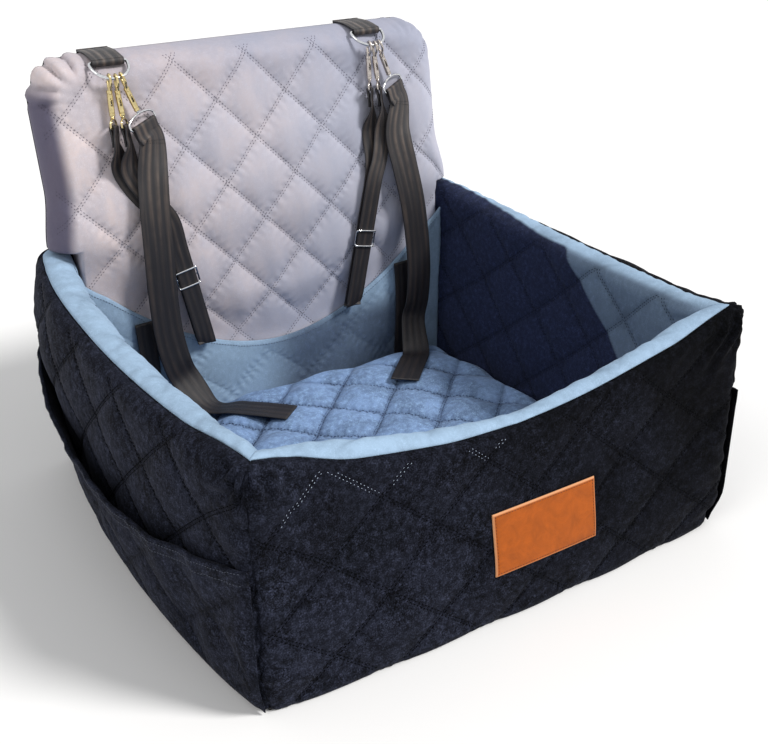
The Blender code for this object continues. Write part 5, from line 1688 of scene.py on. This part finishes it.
def ring_frame(side):
    """The middle of a ring's bar, the direction in which the ring hangs, and its round radius."""
    radius = TAB_WIDTH / 2 + 0.001 + RING_WIRE / 2
    reach = radius + RING_LEG
    low_z = BACKREST_TOP - RING_LOW_DROP
    centre_x = SIDES[side] * TAB_SPACING / 2 + TAB_SHIFT
    face = float(face_y(centre_x, SNAP_FACE_HEIGHT)) + BACKREST_LEAN * (low_z - SNAP_FACE_HEIGHT)
    low_y = face - (SNAP_STANDOFF + SNAP_BEND) / cos(HANG)
    hang = Vector((0, -sin(RING_TILT), -cos(RING_TILT)))
    return Vector((centre_x, low_y, low_z)) - hang * reach, hang, radius


def ring_point(side, angle):
    bar, hang, radius = ring_frame(side)
    return bar + hang * (RING_LEG + radius * cos(angle)) + Vector((radius * sin(angle), 0, 0))


def snap_place(side, index):
    """The frame of a snap: its origin on the barrel's axis at the barrel's top, Z along the snap."""
    _, _, radius = ring_frame(side)
    angle = asin((index - 1) * SNAP_PITCH / radius)
    lean = Matrix.Rotation(-HANG, 4, "X") @ Matrix.Rotation(-SNAP_LEANS[index], 4, "Y")
    drop = Matrix.Translation((0, SNAP_BEND, -WIRE_HEIGHT))
    return Matrix.Translation(ring_point(side, angle)) @ lean @ drop


def eye_bar(index):
    turn = EYE_TURNS[index]
    front = Vector((sin(turn), -cos(turn), 0))
    return Vector((0, 0, -(BARREL_LENGTH + EYE_DROP + EYE_HEIGHTS[index]))), round_the_axis(turn), front


def hook_mesh():
    """The snap's barrel with its chamfers and thumb slot, and the round hook above it."""
    radius, bore, hole = BARREL_DIAMETER / 2, BORE_DIAMETER / 2, POST_DIAMETER / 2 + GAP
    low, floor = -BARREL_LENGTH, BARREL_FLOOR - BARREL_LENGTH
    edge, neck = 0.0005, 0.00035
    tube = [(hole, low), (radius - edge, low), (radius, low + edge)]
    for level in (low + 0.0034, -0.0044):
        tube += [(radius, level - 0.0007), (radius - neck, level - 0.0003), (radius - neck, level + 0.0003),
                 (radius, level + 0.0007)]
    tube += [(radius, -edge), (radius - edge, 0), (bore, 0), (bore, floor), (hole, floor)]
    barrel = lathe("barrel", tube, 32)
    path = smooth_path([Vector((0, -back * SNAP_BEND, share * BEND_HEIGHT)) for back, share in SNAP_SHANK], 5)
    for step in range(1, 15):
        angle = pi - step * pi / 14
        path.append(Vector((0, SNAP_BEND * (cos(angle) - 1), BEND_HEIGHT + SNAP_BEND * sin(angle))))
    path.append(Vector((0, 0, MOUTH_HEIGHT)))
    clear, top = bore + 0.0002, MOUTH_HEIGHT - SNAP_SEAT_GAP
    way = lathe("way", [(0, low), (clear, low), (clear, top), (0, top)], 24)
    trimmed = combine("hook", swept_rod("hook", path, SNAP_ROD, 16), (), (way,))
    half = STUD_DIAMETER / 2 + GAP
    corners = [(-half, -BARREL_DIAMETER), (half, -BARREL_DIAMETER), (half, 0), (-half, 0)]
    ends = (-STUD_DEPTH - BOLT_TRAVEL - half, -STUD_DEPTH + half)
    slot = loft("slot", [[Vector((x, y, z)) for x, y in corners] for z in ends])
    return combine("snap hook", barrel, (trimmed,), (slot,))


def latch_mesh():
    """The sliding bolt and the ribbed thumb stud on it."""
    radius, tip = BOLT_DIAMETER / 2, MOUTH_HEIGHT - GAP
    stem = lathe("bolt", [(0, -BOLT_INSIDE), (radius, -BOLT_INSIDE), (radius, tip - BOLT_CHAMFER),
                          (radius - BOLT_CHAMFER * 0.4, tip - BOLT_CHAMFER * 0.3),
                          (radius - BOLT_CHAMFER, tip), (0, tip)], 24)
    thin = STUD_DIAMETER / 2
    stud = lathe("stud", [(0, 0.0004), (thin, 0.0004), (thin, STUD_REACH - 0.0018),
                          (thin * 1.25, STUD_REACH - 0.0014), (thin * 1.25, STUD_REACH - 0.0003),
                          (thin, STUD_REACH), (0, STUD_REACH)], 20)
    stud.transform(Matrix.Translation((0, 0, -STUD_DEPTH)) @ Matrix.Rotation(pi / 2, 4, "X"))
    return combine("snap latch", stem, (stud,))


def coil_mesh():
    low = BARREL_FLOOR - BARREL_LENGTH + 2 * GAP + POST_HEAD[1] + SPRING_WIRE / 2 + GAP
    high = -BOLT_INSIDE - SPRING_WIRE / 2 - GAP
    radius = BORE_DIAMETER / 2 - GAP - SPRING_WIRE / 2
    steps = SPRING_TURNS * 24
    turn = [2 * pi * n / 8 for n in range(8)]
    sections = []
    for k in range(steps + 1):
        out = round_the_axis(2 * pi * SPRING_TURNS * k / steps)
        centre = out * radius + Vector((0, 0, low + (high - low) * k / steps))
        sections.append([centre + SPRING_WIRE / 2 * (cos(a) * out + Vector((0, 0, sin(a)))) for a in turn])
    return loft("coil", sections)


def swivel_eye_mesh(index):
    """The swivel's eye: a loop for the strap, a knuckle, and a headed post inside the barrel."""
    middle, run, front = eye_bar(index)
    half = (TETHER_WIDTH if index == 2 else BUNCHED_WIDTH) / 2 + EYE_SIDE_CLEARANCE + EYE_ROD / 2
    height = EYE_HEIGHTS[index]
    corner, shoulder = EYE_ROD * 0.8, height * EYE_SHOULDER
    path = []
    for step in range(25):
        angle = pi * step / 24
        rise = shoulder + (height - shoulder) * sin(angle)
        path.append(middle + run * half * cos(angle) + UP * rise)
    for sign in (-1, 1):
        bend = [middle + run * sign * half + UP * corner]
        for a in arc_steps(5)[1:-1]:
            inward = half - corner + corner * cos(a)
            bend.append(middle + run * sign * inward + UP * (corner - corner * sin(a)))
        bend.append(middle + run * sign * (half - corner))
        path += bend if sign < 0 else bend[::-1]
    loop = swept_rod("eye loop", path, EYE_ROD, 14, True, front)
    head_low = BARREL_FLOOR + GAP - BARREL_LENGTH
    low, top = middle.z + height, -BARREL_LENGTH - GAP
    thin, head = POST_DIAMETER / 2, POST_HEAD[0] / 2
    post = lathe("post", [(0, low), (thin, low), (thin, head_low), (head, head_low),
                          (head, head_low + POST_HEAD[1]), (0, head_low + POST_HEAD[1])], 20)
    narrow, wide = KNUCKLE_DIAMETERS[0] / 2, KNUCKLE_DIAMETERS[1] / 2
    knuckle = lathe("knuckle", [(0, low), (narrow, low), (narrow, low + 0.0008), (wide, top - 0.0006),
                                (wide - 0.0003, top), (0, top)], 28)
    return combine("swivel eye", loop, (post, knuckle))


class SEAT_OT_hooks(bpy.types.Operator):
    """Makes the tab rings and the six plated snap hooks"""

    bl_idname = "seat.hooks"
    bl_label = "Rings and snaps"

    def execute(self, context):
        steel = plated_material("spring steel", (0.50, 0.50, 0.51), 0.3)
        platings = {
            "left": ("gold_plating", plated_material("pale gold plating", seat_colour("gold"), 0.16)),
            "right": ("nickel_plating", plated_material("nickel plating", seat_colour("nickel"), 0.18)),
        }
        for side in SIDES:
            self.ring(side)
            for index in range(3):
                self.snap(side, index, *platings[side], steel)
        return {"FINISHED"}

    def snap(self, side, index, slot, plating, steel):
        """One snap: its hook, its latch, its spring and its swivel."""
        place = snap_place(side, index)
        name, bolt = f"{side}_snap_{index + 1}", f"{side}_bolt_{index + 1}"
        metal_piece(f"{name}_hook", hook_mesh(), place, name, plating, f"{name}_body")
        metal_piece(f"{name}_latch", latch_mesh(), place, bolt, plating, f"{name}_bolt")
        coil = metal_piece(f"{name}_coil", coil_mesh(), place, name, steel, f"{name}_spring")
        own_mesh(coil)
        if index == 2:
            slot, plating = "chrome", chrome_plating()
        metal_piece(f"{name}_swivel", swivel_eye_mesh(index), place, f"{side}_hook_set", plating,
                    f"{name}_eye")

    def ring(self, side):
        """The ring in a tab: a half round, two legs and the bar that the tab holds."""
        bar, hang, radius = ring_frame(side)
        path = [ring_point(side, radians(a)) for a in range(-90, 91, 6)]
        corner = RING_WIRE * 0.8
        for sign in (1, -1):
            bend = []
            for a in arc_steps(5):
                reach = radius - corner + corner * cos(a)
                bend.append(bar + RIGHT * sign * reach + hang * (corner - corner * sin(a)))
            path += bend if sign > 0 else bend[::-1]
        mesh = swept_rod(f"{side} ring", path, RING_WIRE, 18, True, hang.cross(RIGHT))
        metal_piece(f"{side}_chrome_ring", mesh, Matrix.Identity(4), f"{side}_ring",
                    chrome_plating(), f"{side}_tab_ring")


# Straps


def strap_axes(along, face):
    """A strap's direction across and its direction out, square to its run."""
    along = along.normalized()
    across = along.cross(face).normalized()
    return across, across.cross(along).normalized()


def webbing(name, path, faces, ribs, widths, thicknesses=WEBBING_THICKNESS):
    """A woven strap: ribs run along it, its edges are rounded, and its UV place is in metres."""
    if isinstance(widths, float):
        widths, thicknesses = [widths] * len(path), [thicknesses] * len(path)
    points, uv, rib_values = [], [], []
    gone = 0.0
    for i, point in enumerate(path):
        gone += (point - path[i - 1]).length if i else 0.0
        across, out = strap_axes(path[min(i + 1, len(path) - 1)] - path[max(i - 1, 0)], faces[i])
        for face in (1, -1):
            for k in range(STRAP_COLUMNS):
                s = ((k + 0.5) / STRAP_COLUMNS * 2 - 1) * face
                ridge = 0.5 + 0.5 * cos(pi * ribs * (s + 1) + pi)
                edge = sqrt(max(0.0, 1 - max(0.0, (abs(s) - 0.93) / 0.07) ** 2))
                rise = thicknesses[i] / 2 * (0.55 + 0.45 * edge) * (0.80 + 0.20 * ridge)
                points.append(tuple(point - across * (widths[i] / 2 * s) + out * rise * face))
                uv.append((s * widths[i] / 2, gone))
                rib_values.append(ridge * edge)
    obj = mesh_object(name, points, loop_faces(len(path), 2 * STRAP_COLUMNS), uv, {"rib": rib_values})
    outward(obj.data)
    return obj


def strap_head(side, index, thickness):
    """The end of a strap that comes up behind a snap's eye, goes over its bar and down in front."""
    middle, _, front = eye_bar(index)
    wrap = EYE_ROD / 2 + GAP + thickness / 2
    pressed = front * (thickness / 2 + GAP)
    points = [middle - UP * HEAD_TAIL - pressed, middle - UP * HEAD_TAIL / 2 - pressed]
    faces = [-front, -front]
    for angle in (180, 140, 90, 40, 0):
        a = radians(angle)
        out = front * cos(a) + UP * sin(a)
        points.append(middle + out * wrap)
        faces.append(out)
    points += [middle - UP * HEAD_TAIL / 2 + pressed, middle - UP * HEAD_TAIL + pressed]
    faces += [front, front]
    place = snap_place(side, index)
    turn = place.to_3x3()
    return [place @ point for point in points], [turn @ face for face in faces]


def hang_point(x, z, standoff):
    face = min(float(face_y(x, max(z, STRAP_FACE_LOW))), float(face_y(0.0, z)))
    return Vector((x, face - standoff, z))


def cushion_normal(x, y):
    step = 0.005
    slope_x = float(cushion_crown(x + step, y) - cushion_crown(x - step, y)) / (2 * step)
    slope_y = float(cushion_crown(x, y + step) - cushion_crown(x, y - step)) / (2 * step)
    return Vector((-slope_x, -slope_y, 1)).normalized()


def leash_line(side, z, standoff):
    (x0, z0), (x1, z1) = LEASH_STRAIGHT[side]
    return Vector((x0 + (x1 - x0) * (z0 - z) / (z0 - z1), STRAP_DEPTH - standoff, z))


def path_length(path):
    return sum((b - a).length for a, b in zip(path, path[1:]))


def leash_lie(side):
    """A leash's direction, the point on its line at the hooks' height, and the share that it shortens to."""
    (x0, z0), (x1, z1) = LEASH_STRAIGHT[side]
    along = Vector((x0 - x1, 0, z0 - z1)).normalized()
    return tuple(along), (x0 + (x0 - x1) / (z0 - z1) * (HOOK_LEVEL - z0), 0, HOOK_LEVEL), LEASH_SHARE


class SEAT_OT_straps(bpy.types.Operator):
    """Makes the tethers, the leashes with their sliders, the anchor straps and the ring tabs"""

    bl_idname = "seat.straps"
    bl_label = "Straps"

    def execute(self, context):
        for side in SIDES:
            self.tether(side)
            self.leash(side)
            self.slider(side)
            self.anchor(side)
            self.tab(side)
        return {"FINISHED"}

    def declare(self, obj, side, path, width, end, node, lie):
        """Gives a strap its webbing, attaches it to its hook set and hides the CAD part that it stands for.
        """
        finish_piece(obj, f"{side}_hook_set", webbing_material(), [node])
        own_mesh(obj)

    def tether(self, side):
        """The wide strap, which ends in a tail on the cushion."""
        points, faces = strap_head(side, 2, WEBBING_THICKNESS)
        for x, z in TETHER_FALL[side]:
            points.append(hang_point(x, z, TETHER_STANDOFF))
            faces.append(FORWARD)
        for x, y in TETHER_LIE[side]:
            points.append(Vector((x, y, float(cushion_crown(x, y)) + TETHER_REST)))
            faces.append(cushion_normal(x, y))
        faces[-len(TETHER_LIE[side]) - 1] = Vector((0, -0.85, 0.3))
        path, faces = smooth_path(points, 9), smooth_path(faces, 9)
        obj = webbing(f"{side}_tether", path, faces, 4, TETHER_WIDTH)
        self.declare(obj, side, path, TETHER_WIDTH, "bare", f"{side}_tether_strap", TETHER_HANG)
        self.cross_seam(side, path, faces)

    def cross_seam(self, side, path, faces):
        """Two rows of stitches across a tether below its fold."""
        gone, runs = 0.0, []
        goals = [TETHER_SEAM, TETHER_SEAM + 0.004]
        for i in range(1, len(path)):
            gone += (path[i] - path[i - 1]).length
            if goals and gone >= goals[0]:
                goals.pop(0)
                across, out = strap_axes(path[i] - path[i - 1], faces[i])
                runs.append([path[i] + across * TETHER_WIDTH * s / 40 + out * WEBBING_THICKNESS * 0.52
                             for s in range(-18, 19)])
        obj = stitches(f"{side}_tether_seam", runs, f"{side}_hook_set",
                       thread_material("black thread", "0c0c10"), 0.0030, 0.0022, 0.0008)
        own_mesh(obj)

    def leash(self, side):
        """The narrower strap, which runs down, folds at its foot and comes back up behind itself."""
        down, down_faces = strap_head(side, 1, BUNCHED_THICKNESS)
        up, up_faces = strap_head(side, 0, BUNCHED_THICKNESS)
        (_, z0), (_, z1) = LEASH_STRAIGHT[side]
        steps, count = 8, 5
        levels = [z0 + (z1 - z0) * k / (count - 1) for k in range(count)]
        first = [hang_point(x, z, LEASH_STANDOFF) for x, z in LEASH_FALL[side]]
        straight = [leash_line(side, z, LEASH_STANDOFF) for z in levels]
        behind = [leash_line(side, z1 + z0 - z, LEASH_BACK_STANDOFF) for z in levels]
        low = straight[-1] + (straight[-1] - straight[-2]) * 0.45
        low.y = (straight[-1].y + behind[0].y) / 2
        second = [hang_point(x, z, LEASH_BACK_STANDOFF) for x, z in reversed(LEASH_RETURN[side])]
        faces = down_faces + [FORWARD] * (len(first) + count) + [Vector((0, 0, -1))]
        faces += [Vector((0, 1, 0))] * (count + len(second)) + [-face for face in up_faces[::-1]]
        path = smooth_path(down + first + straight + [low] + behind + second + up[::-1], steps)
        faces = smooth_path(faces, steps)
        total = path_length(path)
        widths, thicknesses = [], []
        gone = 0.0
        for k, point in enumerate(path):
            gone += (point - path[k - 1]).length if k else 0.0
            spread = float(ease((min(gone, total - gone) - BUNCHED_LENGTH) / BUNCHED_LENGTH))
            widths.append(BUNCHED_WIDTH + (LEASH_WIDTH - BUNCHED_WIDTH) * spread)
            thicknesses.append(BUNCHED_THICKNESS + (WEBBING_THICKNESS - BUNCHED_THICKNESS) * spread)
        turn = (len(down) + len(first) + count) * steps
        for part, run in (("front", slice(0, turn + 1)), ("back", slice(turn, len(path)))):
            obj = webbing(f"{side}_leash_{part}", path[run], faces[run], 3, widths[run], thicknesses[run])
            self.declare(obj, side, path[run], LEASH_WIDTH, "object", f"{side}_leash_strap", leash_lie(side))

    def slider(self, side):
        """The slider of a leash: a bent frame with a middle bar."""
        (x0, z0), (x1, z1) = LEASH_STRAIGHT[side]
        bow = GLIDE_ROD / 2 + GAP + WEBBING_THICKNESS / 2
        half = LEASH_WIDTH / 2 + EYE_SIDE_CLEARANCE + GLIDE_ROD / 2
        high, corner = GLIDE_HEIGHT / 2, GLIDE_ROD * 1.2
        loop = []
        for sx, sz in ((1, 1), (-1, 1), (-1, -1), (1, -1)):
            near = Vector((sx * half, 0, sz * (high - corner)))
            bend = Vector((sx * (half - corner * 0.3), -bow * 0.6, sz * (high - corner * 0.3)))
            along = Vector((sx * (half - corner), -bow, sz * high))
            loop += [near, bend, along] if sx * sz > 0 else [along, bend, near]
        fine = smooth_path(loop + loop[:3], 5)[5 : 5 + 5 * len(loop)]
        rim = swept_rod("slider frame", fine, GLIDE_ROD, 14, True, Vector((0, 1, 0)))
        turn = half - corner * 0.35
        bar = [Vector((x, y, 0)) for x, y in ((-half, 0), (-turn, bow), (turn, bow), (half, 0))]
        mesh = combine("slider", rim, (swept_rod("middle bar", bar, GLIDE_ROD * 0.9, 12, False, UP),))
        place = Matrix.Translation(leash_line(side, (z0 + z1) / 2, LEASH_STANDOFF))
        place = place @ Matrix.Rotation(-atan2(x1 - x0, z0 - z1), 4, "Y")
        obj = metal_piece(f"{side}_chrome_slider", mesh, place, f"{side}_slider", chrome_plating(),
                          f"{side}_leash_slider")
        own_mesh(obj)

    def anchor(self, side):
        """The narrow strap that lies on the rear lining."""
        x = SIDES[side] * ANCHOR_CENTRE
        y = REAR_LINING_FRONT - GAP - WEBBING_THICKNESS / 2 - 0.0025
        top = float(rear_lining_edge(abs(x) - ANCHOR_WIDTH / 2)) - GAP
        path = []
        for k in range(41):
            t = k / 40
            path.append(Vector((x + 0.0015 * sin(5 * t), y - 0.0018 * sin(pi * t),
                                top + (ANCHOR_LOW - top) * t)))
        obj = webbing(f"{side}_anchor", path, [FORWARD] * len(path), 3, ANCHOR_WIDTH)
        finish_piece(obj, "box", webbing_material(), [f"{side}_anchor_strap"])

    def tab(self, side):
        """The tab over the backrest's top edge, whose fold holds a ring."""
        bar = ring_frame(side)[0]
        wrap = RING_WIRE / 2 + 3 * GAP + WEBBING_THICKNESS / 2
        over = 2 * GAP + WEBBING_THICKNESS / 2
        edge = TONGUE_BACK + float(backrest_lean(BACKREST_TOP))
        low = BACKREST_TOP - TAB_TAIL
        points = [(TONGUE_BACK + float(backrest_lean(low)) + over, low, 0)]
        for angle in (0, 45, 90):
            a = radians(angle)
            points.append((edge + over * cos(a), BACKREST_TOP + over * sin(a), angle))
        points.append(((edge + bar.y) / 2, BACKREST_TOP + over + GAP, 90))
        for angle in range(90, 271, 30):
            a = radians(angle)
            points.append((bar.y + wrap * cos(a), bar.z + wrap * sin(a), angle))
        points.append((bar.y + TAB_UNDERLAP, bar.z - wrap + TAB_TAIL_RISE, 285))
        path = smooth_path([Vector((bar.x, y, z)) for y, z, _ in points], 6)
        faces = [Vector((0, cos(radians(a)), sin(radians(a)))) for _, _, a in points]
        obj = webbing(f"{side}_tab", path, smooth_path(faces, 6), 4, TAB_WIDTH)
        finish_piece(obj, "backrest", webbing_material(), [f"{side}_ring_tab"])


# Inside and underside


class SEAT_OT_core(bpy.types.Operator):
    """Makes the foam, the board, the floor lining and the underside"""

    bl_idname = "seat.core"
    bl_label = "Core and underside"

    def execute(self, context):
        for name in ("front_wall", "left_wall", "right_wall"):
            padding = self.copy(f"{name}_foam", f"{name}_padding", "box", "foam", foam_material(),
                                (0.995, 0.995, 0.97))
            for vertex in padding.data.vertices:
                vertex.co = settle(np.array(vertex.co))
        self.copy("backrest_foam", "backrest_padding", "backrest", "foam", foam_material(), (0.93, 1.0, 1.0))
        self.copy("base_board", "stiff_base", "box", "board", board_material(), (0.98, 0.98, 1.0))
        self.copy("floor_lining", "floor_cloth", "box", "blue_velvet", cushion_velvet())
        self.copy("bottom_cover", "underside_cloth", "box", "black_webbing", underside_material(),
                  (0.975, 0.975, 1.0))
        return {"FINISHED"}

    def copy(self, node, name, body, slot, material, scale=(1.0, 1.0, 1.0)):
        """A merged copy of a CAD solid, drawn in from its cover, with softened edges."""
        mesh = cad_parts[node].data.copy()
        bm = bmesh.new()
        bm.from_mesh(mesh)
        bmesh.ops.remove_doubles(bm, verts=bm.verts, dist=0.00002)
        bm.to_mesh(mesh)
        bm.free()
        mesh.transform(Matrix.Diagonal((*scale, 1.0)))
        obj = new_object(name, mesh)
        bevel = obj.modifiers.new("edges", "BEVEL")
        bevel.width = 0.0006
        bevel.segments = 2
        bevel.angle_limit = radians(50)
        return finish_piece(obj, body, material, [node])


class SEAT_PT_panel(bpy.types.Panel):
    """Lists the sizes, colours and steps of the seat"""

    bl_idname = "SEAT_PT_panel"
    bl_label = "Dog car seat"
    bl_space_type = "VIEW_3D"
    bl_region_type = "UI"
    bl_category = "Dog Seat"

    def draw(self, context):
        layout = self.layout
        for group in (context.scene.seat_colours, context.scene.seat_quilting, context.scene.seat_studio):
            box = layout.box()
            for key in group.__annotations__:
                box.prop(group, key)
        for operator in OPERATORS:
            layout.operator(operator.bl_idname)


OPERATORS = (SEAT_OT_stage, SEAT_OT_straps, SEAT_OT_walls, SEAT_OT_rear, SEAT_OT_cushion, SEAT_OT_backrest,
             SEAT_OT_pockets, SEAT_OT_label, SEAT_OT_hooks, SEAT_OT_core)
GROUPS = (("seat_colours", SeatColours), ("seat_quilting", SeatQuilting), ("seat_studio", SeatStudio))


def register():
    for name, group in GROUPS:
        bpy.utils.register_class(group)
        setattr(bpy.types.Scene, name, bpy.props.PointerProperty(type=group))
    for item in (*OPERATORS, SEAT_PT_panel):
        bpy.utils.register_class(item)


def unregister():
    for item in reversed((*OPERATORS, SEAT_PT_panel)):
        bpy.utils.unregister_class(item)
    for name, group in reversed(GROUPS):
        delattr(bpy.types.Scene, name)
        bpy.utils.unregister_class(group)


def main():
    register()
    bpy.ops.seat.stage()
    bpy.ops.seat.straps()
    bpy.ops.seat.walls()
    bpy.ops.seat.rear()
    bpy.ops.seat.cushion()
    bpy.ops.seat.backrest()
    bpy.ops.seat.pockets()
    bpy.ops.seat.label()
    bpy.ops.seat.hooks()
    bpy.ops.seat.core()


if __name__ == "__main__":
    main()
